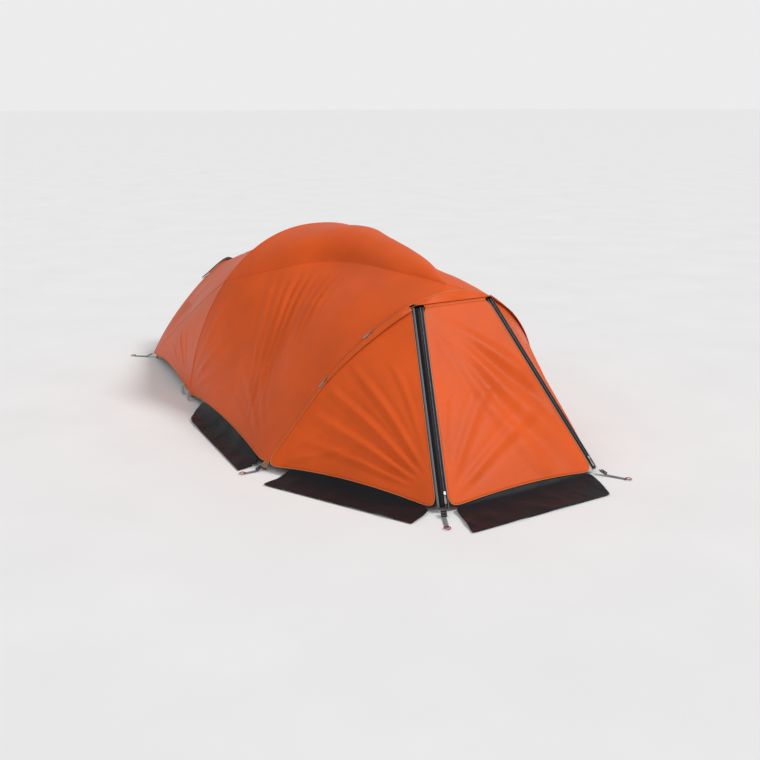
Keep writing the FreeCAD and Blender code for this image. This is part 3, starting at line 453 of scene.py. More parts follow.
def net_material(name, base):
    """Fine mosquito net: a regular grid of holes, seen through."""
    if name in bpy.data.materials:
        return bpy.data.materials[name]
    made, tree, shader = new_material(name)
    place = node(tree, "ShaderNodeTexCoord")
    weave = grouped(tree, weave_group(), [("Vector", place.outputs["UV"]), ("Squares", 620.0)])
    clouds = grouped(tree, wear_group(), [("Vector", place.outputs["Object"])])
    tone = mixed(tree, ranged(tree, clouds.outputs["Cloud"], 0.0, 1.0), shade(base, 0.8), shade(base, 1.3))
    tree.links.new(tone, shader.inputs["Base Color"])
    shader.inputs["Roughness"].default_value = 0.7
    tree.links.new(maths(tree, "ADD", maths(tree, "MULTIPLY", weave.outputs["Grid"], 0.45), 0.5),
                   shader.inputs["Alpha"])
    return made


def webbing_material(name, base):
    """Woven strap: a broad ribbed weave."""
    if name in bpy.data.materials:
        return bpy.data.materials[name]
    made, tree, shader = new_material(name)
    place = node(tree, "ShaderNodeTexCoord")
    ribs = grouped(tree, weave_group(), [("Vector", place.outputs["Object"]), ("Threads", 1600.0),
                                         ("Squares", 450.0)])
    wear = grouped(tree, wear_group(), [("Vector", place.outputs["Object"]), ("Scale", 30.0)])
    tone = mixed(tree, ranged(tree, wear.outputs["Cloud"], 0.0, 1.0), shade(base, 0.8), shade(base, 1.2))
    tree.links.new(tone, shader.inputs["Base Color"])
    tree.links.new(ranged(tree, wear.outputs["Cloud"], 0.6, 0.8), shader.inputs["Roughness"])
    relief = node(tree, "ShaderNodeBump", [("Height", ribs.outputs["Height"]), ("Strength", 0.6),
                                           ("Distance", 0.0006)])
    tree.links.new(relief.outputs[0], shader.inputs["Normal"])
    return made


def refined(mesh, levels, seamed=False):
    """The panel subdivided to a smooth surface that keeps its seams."""
    if seamed:
        crease = mesh.edges.layers.float.new("crease_edge")
        for edge in seam_edges(mesh):
            edge[crease] = 1.0
    obj = add_object("refined", mesh)
    step = obj.modifiers.new("Smooth", "SUBSURF")
    step.levels = step.render_levels = levels
    return settled(obj)


def edge_distances(mesh, edges):
    """For each vertex, its distance from the nearest of some edges."""
    tree = kdtree.KDTree(2 * len(edges))
    for number, edge in enumerate(edges):
        for end, vert in enumerate(edge.verts):
            tree.insert(vert.co, 2 * number + end)
    tree.balance()
    return {vert: tree.find(vert.co)[2] for vert in mesh.verts}


def fold_field(mesh, edges, fade, moves):
    """Moves each vertex along its normal by a sum of folds that dies away towards the seams."""
    mesh.normal_update()
    near = edge_distances(mesh, edges)
    shifts = [sum(move(v.co, v.normal) for move in moves) * rising(near[v], 0.0, fade) for v in mesh.verts]
    for vert, shift in zip(mesh.verts, shifts):
        vert.co += vert.normal * shift


def fan(corner, towards, over, folds, reach, height, start=0.05):
    """Tension folds that run out from a corner. Each is (angle from the first direction in degrees, width in
    metres at one metre out, share of the height)."""
    towards = towards.normalized()
    over = (over - towards * over.dot(towards)).normalized()

    def move(place, _):
        way = place - corner
        along, side = way.dot(towards), way.dot(over)
        distance = math.hypot(along, side)
        if distance > reach or abs((way - towards * along - over * side).length) > 0.28:
            return 0.0
        stray = noise.noise(Vector((distance * 2.6, corner.x, corner.y * 3)))
        angle = math.atan2(side, along) + 0.035 * stray
        fade = rising(distance, start, reach * 0.35) * (1 - rising(distance, reach * 0.55, reach))
        total = 0.0
        for at, width, share in folds:
            off = (angle - math.radians(at)) * distance
            spread = width * (0.35 + 0.65 * distance)
            total += share * swell(off, spread)
        return total * fade * height

    return move


def pleats(sign, folds, slope, height):
    """Near-vertical folds down one side of the fly from its ridge. Each is (place along the tent at ridge
    height, half width, lowest height, share of the height)."""

    def move(place, normal):
        if place.x * sign < 0.1 or abs(normal.x) < 0.35 or place.y > 0.34:
            return 0.0
        run = place.y - slope * (place.z - 0.9) + 0.010 * noise.noise(Vector((place.z * 5, 2.0, sign)))
        total = 0.0
        for at, width, lowest, share in folds:
            spread = width * (0.8 + 0.7 * rising(place.z, lowest, 0.9))
            uneven = 0.62 + 0.9 * noise.noise(Vector((at * 31, place.z * 2.2, sign * 4.0)))
            total += share * uneven * swell(run - at, spread) * rising(place.z, lowest - 0.12, lowest + 0.25)
        return height * total * (1 - rising(place.z, 0.84, 0.93))

    return move


def drape(height, scale, seed):
    """The gentle unevenness of cloth between its seams."""
    shift = Vector((seed, seed * 0.7, -seed))

    def move(place, _):
        return height * noise.noise(place * scale + shift)

    return move


def thickened(name, mesh, thick, material):
    """A cloth piece with its thickness on the inside, smooth shaded."""
    smooth_faces(mesh)
    obj = add_object(name, mesh, material)
    step = obj.modifiers.new("Cloth", "SOLIDIFY")
    step.thickness = thick
    step.offset = -1
    step.use_rim = True
    return obj


def run_length(run):
    """The length along a run of points."""
    return sum((after - before).length for before, after in zip(run, run[1:]))


def declare_cloth(obj, body="frame", replaces=(), flat=None):
    """Rides, replaces and declares one piece of cloth. Its cut is its frame panels' unless flat gives it."""
    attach(obj, body)
    if replaces:
        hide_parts(*replaces)
    if flat:
        return


def trim(obj, body="frame"):
    """Rides a small piece and gives its finish."""
    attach(obj, body)
    return obj


def tubes(name, runs, radius, material, sides=2):
    """Rolled seams or piping along runs of points, as one mesh of thin tubes."""
    data = bpy.data.curves.new(name, "CURVE")
    data.dimensions = "3D"
    data.bevel_depth = radius
    data.bevel_resolution = sides
    data.use_fill_caps = True
    for run in runs:
        spline = data.splines.new("POLY")
        spline.points.add(len(run) - 1)
        for point, place in zip(spline.points, run):
            point.co = (*place, 1)
    curve = bpy.data.objects.new(name, data)
    bpy.context.scene.collection.objects.link(curve)
    mesh = settled(curve)
    bpy.data.curves.remove(data)
    smooth_faces(mesh)
    return add_object(name, mesh, material)


def ribbon(name, run, across, reach, outs, thick, material):
    """A flat tape along a run of points. Across is its direction of width at each point, and reach gives how
    far it goes each way."""
    mesh = bmesh.new()
    starts = [place - side * reach(number)[0] for number, (place, side) in enumerate(zip(run, across))]
    first = [mesh.verts.new(start) for start in starts]
    edges = [mesh.edges.new(pair) for pair in zip(first, first[1:])]
    made = bmesh.ops.extrude_edge_only(mesh, edges=edges)
    twins = {v.co.to_tuple(6): v for v in made["geom"] if isinstance(v, bmesh.types.BMVert)}
    for number, vert in enumerate(first):
        low, high = reach(number)
        twins[vert.co.to_tuple(6)].co += across[number] * (low + high)
    mesh.normal_update()
    if sum(face.normal.dot(outs[0]) for face in mesh.faces) < 0:
        bmesh.ops.reverse_faces(mesh, faces=mesh.faces)
    lay_flat(mesh)
    return thickened(name, mesh, thick, material)


# ------------------------------------------------------------------ the fly

CANOPY = ("fly_side_left", "fly_side_right", "fly_rear_side_left", "fly_rear_side_right", "fly_roof_front",
          "fly_roof_rear", "fly_apex_patch")


def corner_of(mesh_nodes, key):
    """The place in some nodes that is furthest by a measure, on the hem."""
    places = [v.co for name in mesh_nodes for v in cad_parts[name].data.vertices if v.co.z < 0.034]
    return max(places, key=key).copy()


def corners(sign):
    """The four hem corners of the fly on one side: porch, hoop, middle and rear."""
    side = "left" if sign < 0 else "right"
    door, body, rear = f"porch_side_door_{side}", f"fly_side_{side}", f"fly_rear_side_{side}"
    return (corner_of([door], lambda p: -p.y), corner_of([body], lambda p: -p.y),
            corner_of([body], lambda p: p.y), corner_of([rear], lambda p: p.y))


PLEATS = ((-0.52, 0.013, 0.62, 0.6), (-0.455, 0.014, 0.56, 0.9), (-0.385, 0.013, 0.52, 0.8),
          (-0.315, 0.014, 0.45, 1.0), (-0.25, 0.013, 0.36, 1.1), (-0.185, 0.013, 0.25, 1.2),
          (-0.12, 0.014, 0.22, 1.1), (-0.05, 0.013, 0.12, 1.0), (0.03, 0.015, 0.20, 0.7))


def side_folds(sign):
    """The tension folds of one side of the fly, from its corners up to the ridges."""
    _, hoop, middle, rear = corners(sign)
    height = sizes().fold
    forward, back = Vector((0, -1, 0)), Vector((0, 1, 0))
    return [
        pleats(sign, PLEATS, 0.5, height * 1.9),
        fan(hoop, back, UP, [(14, 0.022, 0.4), (26, 0.026, 0.5), (38, 0.026, 0.5)], 0.9, height),
        fan(middle, forward, UP, [(16, 0.024, 0.6), (29, 0.028, 0.9), (43, 0.030, 0.8), (58, 0.028, 0.6),
                                  (72, 0.024, 0.5)], 0.95, height * 0.9),
        fan(middle, back, UP, [(18, 0.026, 0.7), (36, 0.030, 0.8), (54, 0.026, 0.6)], 0.8, height * 0.8),
        fan(rear, forward, UP, [(8, 0.026, 0.7), (18, 0.030, 0.9), (27, 0.026, 0.7)], 1.0, height * 0.9),
    ]


def roof_folds(sign):
    """The long folds of the rear roof, drawn to the rear corners and the ends of the arch."""
    rear = corners(sign)[3]
    inwards = Vector((-sign * 0.45, -1, 0.35))
    across = Vector((-sign, 0, 0.3))
    return fan(rear, inwards, across, [(-16, 0.03, 0.6), (-4, 0.034, 0.9), (9, 0.034, 0.9), (23, 0.032, 0.7),
                                       (37, 0.03, 0.5)], 1.5, sizes().fold * 1.1)


def make_canopy():
    """The fly over the sleeping space, as one sewn sheet, with its seams and its bound edges."""
    mesh = joined([outer_skin(name) for name in CANOPY])
    mesh = refined(mesh, sizes().smoothing, seamed=True)
    seams = seam_edges(mesh)
    edges = [e for e in mesh.edges if e.is_boundary]
    moves = [drape(0.004, 3.2, 1.7), drape(0.0022, 9.0, 5.1)]
    for _, sign in SIDES:
        moves += side_folds(sign) + [roof_folds(sign)]
    fold_field(mesh, seams + edges, 0.16, moves)
    mesh.normal_update()
    spread_uv(mesh)
    seam_runs = chains(seams)
    hems = chains(edges)
    obj = thickened("fly_canopy", mesh, sizes().cloth, slot_material("fly_orange"))
    declare_cloth(obj, replaces=CANOPY)
    trim(tubes("fly_seams", seam_runs, sizes().seam, slot_material("fly_orange")))
    trim(tubes("fly_edge_binding", hems, sizes().binding, slot_material("binding")))


GIRTH = 0.95


def spread_uv(mesh):
    """UV for a large sewn sheet: along the tent, and girth over its top, in metres."""
    layer = mesh.loops.layers.uv.verify()
    for face in mesh.faces:
        normal = face.normal
        for loop in face.loops:
            place = loop.vert.co
            if abs(normal.y) > 0.75:
                loop[layer].uv = (place.x, place.z)
            else:
                loop[layer].uv = (place.y, math.atan2(place.x, place.z + 0.1) * GIRTH)


def facing_way(x, y, z):
    """A facing that is the same at every place."""

    def facing(_):
        return Vector((x, y, z))

    return facing


def cloth_piece(name, source, levels=3, moves=(), fade=0.08, body="frame", slot="fly_orange", facing=outward,
                thick=None):
    """One panel of cloth made from a panel of the frame, with folds, and its thickness inside."""
    mesh = refined(outer_skin(source, facing, 0.2), levels)
    mesh.normal_update()
    edges = [e for e in mesh.edges if e.is_boundary]
    if moves:
        fold_field(mesh, edges, fade, moves)
        mesh.normal_update()
    lay_flat(mesh)
    runs = chains(edges)
    obj = thickened(name, mesh, thick or sizes().cloth, slot_material(slot))
    declare_cloth(obj, body=body, replaces=[source])
    return runs


def make_rear():
    """The rear wall, the net of its vent, and its bound hem."""
    rear_left, rear_right = corners(-1)[3], corners(1)[3]
    facing = facing_way(0, 1, 0.2)
    from_left = [(12, 0.02, 0.7), (26, 0.024, 0.9), (40, 0.02, 0.6)]
    from_right = [(14, 0.02, 0.8), (28, 0.024, 0.8), (42, 0.02, 0.6)]
    folds = [fan(rear_left, Vector((1, 0, 0)), UP, from_left, 0.9, 0.006),
             fan(rear_right, Vector((-1, 0, 0)), UP, from_right, 0.9, 0.006)]
    runs = cloth_piece("fly_rear_wall", "fly_rear_gable", moves=folds, facing=facing)
    trim(tubes("rear_wall_binding", runs, sizes().binding, slot_material("binding")))
    cloth_piece("rear_vent_net", "rear_vent_mesh", levels=2, facing=facing, slot="vent_mesh", thick=0.0006)


def make_porch():
    """The porch: side doors, front door and brow, each with its folds and bound edges."""
    forward = facing_way(0, -1, 0.5)
    for side, sign in SIDES:
        porch, hoop, _, _ = corners(sign)
        from_band = [(8, 0.022, 0.7), (17, 0.024, 1.2), (27, 0.022, 1.1), (38, 0.020, 0.9), (50, 0.020, 0.5)]
        folds = [fan(porch + UP * 0.05, hoop - porch, UP, from_band, 0.95, 0.010),
                 fan(hoop, porch - hoop, UP, [(20, 0.022, 0.6), (36, 0.026, 0.7)], 0.8, 0.006),
                 drape(0.004, 4.0, 2.0 + sign)]
        runs = cloth_piece(f"porch_door_{side}", f"porch_side_door_{side}", moves=folds,
                           body=f"side_door_{side}")
        trim(tubes(f"porch_door_{side}_binding", runs, 0.0022, slot_material("binding")), f"side_door_{side}")
    left, right = corners(-1)[0], corners(1)[0]
    places = [v.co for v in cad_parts["porch_front_door"].data.vertices]
    top = max(places, key=lambda p: p.z - p.x * 0.3).copy()
    folds = [fan(top, right - top, UP, [(-9, 0.034, 0.8), (-1, 0.04, 1.5), (9, 0.04, 1.4)], 1.3, 0.009, 0.0),
             fan(left, Vector((1, 0, 0)), UP, [(24, 0.03, 0.8), (42, 0.034, 0.7), (60, 0.03, 0.6)], 1.0,
                 0.007),
             drape(0.004, 3.5, 8.0)]
    runs = cloth_piece("porch_front", "porch_front_door", moves=folds, facing=forward, body="front_door")
    trim(tubes("porch_front_binding", runs, 0.0022, slot_material("binding")), "front_door")
    cloth_piece("porch_brow_panel", "porch_brow", levels=2, facing=forward)


# ------------------------------------------------------------------ zips, bands and flaps

def node_axis(name):
    """The middles of a long node's low and high ends."""
    places = [v.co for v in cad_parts[name].data.vertices]
    low = min(places, key=lambda p: p.z)
    high = max(places, key=lambda p: p.z)
    bottom = [p for p in places if (p - low).length < 0.08]
    top = [p for p in places if (p - high).length < 0.08]
    return sum(bottom, Vector()) / len(bottom), sum(top, Vector()) / len(top)


def coil(name, run, outs, pitch, width, high, material):
    """A zip's coil: a row of small teeth along a run, each a little block."""
    mesh = bmesh.new()
    count = int(run_length(run) / pitch)
    index, left = 0, 0.0
    for number in range(count):
        want = (number + 0.5) * pitch
        while index < len(run) - 2 and left + (run[index + 1] - run[index]).length < want:
            left += (run[index + 1] - run[index]).length
            index += 1
        way = (run[index + 1] - run[index]).normalized()
        at = run[index] + way * (want - left)
        out = outs[min(index, len(outs) - 1)].normalized()
        side = way.cross(out).normalized()
        turn = Matrix((way, side, out)).transposed().to_4x4()
        turn.translation = at
        bmesh.ops.create_cube(mesh, size=1.0, matrix=turn @ Matrix.Diagonal((pitch * 0.62, width, high, 1.0)))
    return add_object(name, mesh, material)


def make_front_bands():
    """The dark storm flap over each straight zip: padded wings, grey piping, and the zip's coil."""
    for side, sign in SIDES:
        name = f"front_zip_band_{side}"
        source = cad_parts[name]
        mesh = bmesh.new()
        mesh.from_mesh(source.data)
        bmesh.ops.remove_doubles(mesh, verts=mesh.verts, dist=0.0003)
        bmesh.ops.dissolve_limit(mesh, angle_limit=0.02, verts=mesh.verts, edges=mesh.edges)
        low, high = node_axis(name)
        way = (high - low).normalized()
        for cut in range(1, 28):
            place = low.lerp(high, cut / 28)
            bmesh.ops.bisect_plane(mesh, geom=mesh.verts[:] + mesh.edges[:] + mesh.faces[:], plane_co=place,
                                   plane_no=way)
        mesh.normal_update()
        ends = [e for e in mesh.edges if abs((e.verts[0].co - e.verts[1].co).normalized().dot(way)) > 0.9]
        bmesh.ops.bevel(mesh, geom=ends, offset=0.0011, segments=2, profile=0.5, material=-1, affect="EDGES")
        mesh.normal_update()
        for vert in mesh.verts:
            vert.co += vert.normal * (0.0011 * noise.noise(vert.co * 22) - 0.0004)
        lay_flat(mesh)
        smooth_faces(mesh)
        band = add_object(f"storm_band_{side}", mesh, slot_material("band_black"))
        step = band.modifiers.new("Smooth", "SUBSURF")
        step.levels = step.render_levels = 1
        declare_cloth(band, replaces=[name])
        band_trim(side, sign, low, high, source)
    make_brow_hem()


def make_brow_hem():
    """The narrow orange hem that closes the gap between the brow and the front door."""
    tops = [node_axis(f"front_zip_band_{side}")[1] for side, _ in SIDES]
    steps = 24
    forward = Vector((0, -0.006, 0.004))
    run = [tops[0].lerp(tops[1], 0.08 + 0.84 * n / steps) + forward for n in range(steps + 1)]
    face = Vector((0, -0.8, 0.6))
    down = Vector((0, -0.6, -0.8))
    hem = ribbon("brow_hem", run, [down] * (steps + 1), lambda n: (0.016, 0.010), [face] * (steps + 1),
                 TAPE_CLOTH, slot_material("fly_orange"))
    declare_cloth(hem, flat=(0.026, run_length(run)))


def band_trim(side, sign, low, high, source):
    """The grey strip on the outer wing, the pale edge of the front wing, and the zip's coil."""
    way = (high - low).normalized()
    spread = {}
    for vert in source.data.vertices:
        flat = vert.co - way * vert.co.dot(way)
        spread.setdefault(tuple(round(c, 3) for c in flat), flat)
    middle = low - way * low.dot(way)
    outline = sorted(spread.values(), key=lambda p: -(p - middle).length)
    wings = [outline[0], next(p for p in outline if (p - outline[0]).length > 0.045)]
    front, outer = sorted(wings, key=lambda p: p.y)
    ridge = max(spread.values(), key=lambda p: p.dot(Vector((sign * 0.6, -0.8, 0.1))))
    along = [low.dot(way) + (high - low).length * i / 40 for i in range(41)]

    def run_at(place, lift):
        return [place + lift + way * step for step in along]

    inward_strip = (ridge - outer).normalized()
    strip_out = inward_strip.cross(way).normalized()
    if strip_out.dot(outward(low)) < 0:
        strip_out = -strip_out
    strip = ribbon(f"band_strip_{side}", run_at(outer, strip_out * 0.0014), [inward_strip] * 41,
                   lambda n: (-0.004, 0.015), [strip_out] * 41, 0.001, slot_material("piping"))
    declare_cloth(strip, flat=(0.011, along[-1] - along[0]))
    edge = tubes(f"band_edge_{side}", [run_at(front, Vector())], 0.0019, slot_material("piping"))
    trim(edge)
    front_out = (ridge - front).normalized().cross(way).normalized()
    if front_out.dot(outward(low)) < 0:
        front_out = -front_out
    line_at = ridge.lerp(front, 0.5) + front_out * 0.0012
    teeth = coil(f"front_zip_coil_{side}", run_at(line_at, Vector()), [front_out] * 41, ZIP_PITCH, 0.0052,
                 0.0020, slot_material("zip_tape"))
    trim(teeth)


def hoop_run(side):
    """The middle of the curved zip tape, foot to top."""
    places = [v.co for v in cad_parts[f"hoop_zip_{side}"].data.vertices]
    places = sorted({tuple(round(c, 5) for c in p) for p in places}, key=lambda p: p[2])
    rows = []
    ordered = [Vector(p) for p in places]
    steps = 26
    low, high = ordered[0].z, ordered[-1].z
    for number in range(steps):
        level = low + (high - low) * number / (steps - 1)
        near = sorted(ordered, key=lambda p: abs(p.z - level))[:4]
        rows.append(sum(near, Vector()) / 4)
    return [rows[0]] + [(a + b * 2 + c) / 4 for a, b, c in zip(rows, rows[1:], rows[2:])] + [rows[-1]]


# Mean of the flap's tapering width.
STORM_FLAP_WIDTH = 0.031


def make_hoop_zips():
    """The curved zips along the hoop: tape, coil and the storm flap over the upper half."""
    for side, _ in SIDES:
        run = hoop_run(side)
        outs = [outward(p) for p in run]
        steps = len(run)
        ways = [run[min(n + 1, steps - 1)] - run[max(n - 1, 0)] for n in range(steps)]
        across = [(FORWARD - w.normalized() * FORWARD.dot(w.normalized())).normalized() for w in ways]
        tape = ribbon(f"hoop_zip_tape_{side}", run, across, lambda n: (0.007, 0.007), outs, TAPE_CLOTH,
                      slot_material("zip_tape"))
        declare_cloth(tape, replaces=[f"hoop_zip_{side}"], flat=(0.014, run_length(run)))
        lift = [p + o * 0.0006 for p, o in zip(run, outs)]
        raised = [p + o * 0.0028 for p, o in zip(run, outs)]
        growth = [0.036 * rising(n / (steps - 1), 0.42, 0.95) for n in range(steps)]
        flap = ribbon(f"hoop_storm_flap_{side}", raised, across, lambda n: (0.008, 0.007 + growth[n]), outs,
                      TAPE_CLOTH, slot_material("fly_orange"))
        declare_cloth(flap, body=f"side_door_{side}", flat=(STORM_FLAP_WIDTH, run_length(run)))
        edge = [p + a * (0.008 + more) - o * 0.0006 for p, a, o, more in zip(raised, across, outs, growth)]
        bound = tubes(f"hoop_storm_flap_edge_{side}", [edge], 0.0014, slot_material("binding"))
        trim(bound, f"side_door_{side}")
        teeth = coil(f"hoop_zip_coil_{side}", lift, outs, ZIP_PITCH, 0.005, 0.0014, slot_material("zip_tape"))
        trim(teeth)


FLAP_CLOTH = 0.0013
TAPE_CLOTH = 0.0012
ZIP_PITCH = 0.0032


def make_flaps():
    """The snow flaps: stiff dark cloth that lies out over the ground and has dried in creases."""
    specs = [("front", "snow_flap_front", "front_door", Vector((0, -0.6, 1)))]
    for side, sign in SIDES:
        folded_in = -0.7 if side == "right" else 1.0
        specs.append((f"porch_{side}", f"snow_flap_porch_{side}", f"side_door_{side}",
                      Vector((sign * 0.7 * folded_in, -0.3 * folded_in, 1))))
        specs.append((f"body_{side}", f"snow_flap_body_{side}", "frame", Vector((sign * 0.8, 0, 1))))
    for name, source, body, up in specs:
        mesh = outer_skin(source, lambda place: up.normalized(), 0.3)
        mesh = refined(mesh, 4)
        mesh.normal_update()
        seed = Vector((len(name), len(name) * 0.7, 3.0))
        for vert in mesh.verts:
            place = vert.co
            wave = noise.noise(Vector((place.x * 9, place.y * 9, 0)) + seed)
            finer = noise.noise(Vector((place.x * 24, place.y * 24, 0)) - seed)
            reach = rising(vert.co.z, 0.0, 0.03)
            lift = 0.006 + 0.010 * max(wave + 0.15, 0) + 0.003 * max(finer, 0)
            vert.co.z += lift * (1 - reach)
            vert.co += vert.normal * (0.004 * wave * reach)
        lay_flat(mesh)
        mesh.normal_update()
        obj = thickened(f"snow_flap_cloth_{name}", mesh, FLAP_CLOTH, slot_material("flap_black"))
        declare_cloth(obj, body, [source])


def make_hood():
    """The hood over the rear vent, with its bound edge."""
    runs = cloth_piece("vent_hood_cloth", "rear_vent_hood", facing=facing_way(0, 0.5, 0.85),
                       moves=[drape(0.002, 12, 3)], fade=0.04, body="vent_hood")
    trim(tubes("vent_hood_binding", runs, 0.0028, slot_material("band_black")), "vent_hood")


# ------------------------------------------------------------------ inner tent

INNER_CLOTH = 0.0008


def make_inner():
    """The inner tent's roof, side walls and rear wall, of light cloth that hangs slack from its clips."""
    soft = [drape(0.010, 3.0, 4.0), drape(0.004, 9.0, 7.0)]
    for side, _ in SIDES:
        cloth_piece(f"inner_side_{side}", f"inner_wall_{side}", moves=soft, slot="inner_cloth",
                    thick=INNER_CLOTH)
    cloth_piece("inner_top", "inner_roof", moves=soft, slot="inner_cloth", thick=INNER_CLOTH)
    cloth_piece("inner_rear", "inner_rear_wall", moves=soft, facing=facing_way(0, 1, 0.2), levels=2,
                slot="inner_cloth", thick=INNER_CLOTH)


def flat_cloth(name, source, slot, body, bulge):
    """A flat sewn panel cut by its own outline, rounded and slackened a little."""
    mesh = bmesh.new()
    mesh.from_mesh(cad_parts[source].data)
    bmesh.ops.remove_doubles(mesh, verts=mesh.verts, dist=0.0003)
    bmesh.ops.dissolve_limit(mesh, angle_limit=0.02, verts=mesh.verts, edges=mesh.edges)
    bmesh.ops.triangulate(mesh, faces=[f for f in mesh.faces if len(f.verts) > 4])
    bmesh.ops.subdivide_edges(mesh, edges=[e for e in mesh.edges if e.calc_length() > 0.09], cuts=3,
                              use_grid_fill=True)
    mesh.normal_update()
    edges = [e for e in mesh.edges if len(e.link_faces) == 2 and e.calc_face_angle(0) > 0.8]
    near = edge_distances(mesh, edges)
    for vert in mesh.verts:
        soft = rising(near[vert], 0.0, 0.12)
        vert.co.y += bulge * soft * noise.noise(Vector((vert.co.x * 4, 1.0, vert.co.z * 4)))
    mesh.normal_update()
    lay_flat(mesh)
    smooth_faces(mesh)
    obj = add_object(name, mesh, slot_material(slot))
    mark = obj.modifiers.new("Edges", "EDGE_SPLIT")
    mark.split_angle = 0.7
    declare_cloth(obj, body=body, replaces=[source])


def make_inner_front():
    """The inner tent's front wall and its drop door."""
    flat_cloth("inner_front", "inner_front_wall", "inner_cloth", "frame", 0.012)
    flat_cloth("inner_door_cloth", "inner_door", "inner_mesh", "inner_door", 0.012)


# The floor with its walls folded flat.
GROUNDSHEET_CUT = (1.68, 2.54)


def make_floor_cloth():
    """The tub groundsheet, with its soft fold up the sides."""
    mesh = bmesh.new()
    mesh.from_mesh(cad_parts["groundsheet"].data)
    bmesh.ops.remove_doubles(mesh, verts=mesh.verts, dist=0.0003)
    bmesh.ops.dissolve_limit(mesh, angle_limit=0.02, verts=mesh.verts, edges=mesh.edges)
    bmesh.ops.triangulate(mesh, faces=mesh.faces)
    bmesh.ops.subdivide_edges(mesh, edges=[e for e in mesh.edges if e.calc_length() > 0.1], cuts=8,
                              use_grid_fill=True)
    for vert in mesh.verts:
        if vert.co.z > 0.004:
            vert.co.z -= 0.004 * abs(noise.noise(vert.co * 7)) * rising(vert.co.z, 0.004, 0.1)
    mesh.normal_update()
    lay_flat(mesh)
    smooth_faces(mesh)
    obj = add_object("groundsheet_cloth", mesh, slot_material("groundsheet"))
    step = obj.modifiers.new("Edges", "EDGE_SPLIT")
    step.split_angle = 0.6
    declare_cloth(obj, replaces=["groundsheet"], flat=GROUNDSHEET_CUT)


# ------------------------------------------------------------------ cords and fittings

def make_cords():
    """The four guy cords, tied up beside the middle corners."""
    for side, _ in SIDES:
        for end in ("front", "rear"):
            node_name = f"guy_cord_{end}_{side}"
            low, high = (Vector(c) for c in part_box(node_name))
            points = hank_points(low, high)
            data = bpy.data.curves.new(f"guy_line_{end}_{side}", "CURVE")
            data.dimensions = "3D"
            spline = data.splines.new("NURBS")
            spline.points.add(len(points) - 1)
            for point, place in zip(spline.points, points):
                point.co = (*place, 1)
            spline.order_u = 3
            spline.use_endpoint_u = True
            spline.resolution_u = 8
            data.bevel_depth = CORD / 2
            data.bevel_resolution = 3
            data.use_fill_caps = True
            data.materials.append(slot_material("guy_cord"))
            cord = bpy.data.objects.new(f"guy_line_{end}_{side}", data)
            bpy.context.scene.collection.objects.link(cord)
            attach(cord, "frame")
            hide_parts(node_name)


CORD = 0.0025


def hank_points(low, high):
    """The cord's route: loops one beside the next, top to bottom, in a flat hank."""
    points = []
    loops = 12
    left, right = low.y + 0.006, high.y - 0.006
    bottom, top = low.z + 0.007, high.z - 0.005
    middle = (low.x + high.x) / 2
    for number in range(loops * 2 + 1):
        share = number / (loops * 2)
        y = left + (right - left) * share
        depth = middle + 0.0035 * (1 if number % 4 < 2 else -1)
        if number % 2 == 0:
            points += [Vector((depth, y, top - 0.010)), Vector((depth, y, top)),
                       Vector((depth, y + 0.0007, top))]
        else:
            points += [Vector((depth, y, bottom + 0.010)), Vector((depth, y, bottom)),
                       Vector((depth, y + 0.0007, bottom))]
    return points


KEPT = {
    "main_arch_pole": "pole_alloy", "porch_hoop_pole": "pole_alloy", "rear_hoop_pole": "pole_alloy",
    "diagonal_pole_left": "pole_alloy", "diagonal_pole_right": "pole_alloy", "pole_ferrules": "ferrule_metal",
    "pole_shock_cords": "elastic_cord", "pole_tips": "tip_metal", "corner_grommets": "grommet_brass",
    "canopy_clips": "clip_plastic", "corner_buckles": "black_plastic", "vent_stiffener": "black_plastic",
}


def make_kept():
    """Finishes for the pieces that are shown as they are."""
    for name, slot in KEPT.items():
        finish_node(name, slot)
    for level in ("hoop_upper", "hoop_lower", "front"):
        for side, _ in SIDES:
            finish_node(f"{level}_{side}_slider", "slider_metal")
            finish_node(f"{level}_{side}_pull", "pull_grey")


def finish_node(name, slot):
    """Gives a node of the frame its finish."""
    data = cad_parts[name].data
    data.materials.clear()
    data.materials.append(slot_material(slot))


def make_straps():
    """The webbing straps at the corners and the cord loops for the stakes."""
    mesh = bmesh.new()
    mesh.from_mesh(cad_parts["corner_straps"].data)
    bmesh.ops.remove_doubles(mesh, verts=mesh.verts, dist=0.0002)
    bmesh.ops.dissolve_limit(mesh, angle_limit=0.02, verts=mesh.verts, edges=mesh.edges)
    bmesh.ops.bevel(mesh, geom=mesh.edges[:], offset=0.0004, segments=2, profile=0.5, material=-1,
                    affect="EDGES")
    lay_flat(mesh)
    smooth_faces(mesh)
    straps = add_object("webbing_straps", mesh, slot_material("webbing"))
    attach(straps, "frame")
    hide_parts("corner_straps")
    mesh = bmesh.new()
    mesh.from_mesh(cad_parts["stake_loops"].data)
    bmesh.ops.remove_doubles(mesh, verts=mesh.verts, dist=0.0002)
    smooth_faces(mesh)
    for vert in mesh.verts:
        vert.co.z += 0.0012 * noise.noise(vert.co * 60)
    loops = add_object("cord_loops", mesh, slot_material("loop_red"))
    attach(loops, "frame")
    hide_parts("stake_loops")


# ------------------------------------------------------------------ stage

def floor_material():
    """A pale matt floor."""
    made, tree, shader = new_material("Studio Floor")
    place = node(tree, "ShaderNodeTexCoord")
    clouds = grouped(tree, wear_group(), [("Vector", place.outputs["Object"]), ("Scale", 1.4)])
    tone = mixed(tree, ranged(tree, clouds.outputs["Cloud"], 0.0, 1.0), (0.90, 0.90, 0.90, 1),
                 (0.94, 0.94, 0.94, 1))
    tree.links.new(tone, shader.inputs["Base Color"])
    shader.inputs["Roughness"].default_value = 0.85
    shader.inputs["Specular IOR Level"].default_value = 0.1
    return made


SKY_LIGHT = 0.42


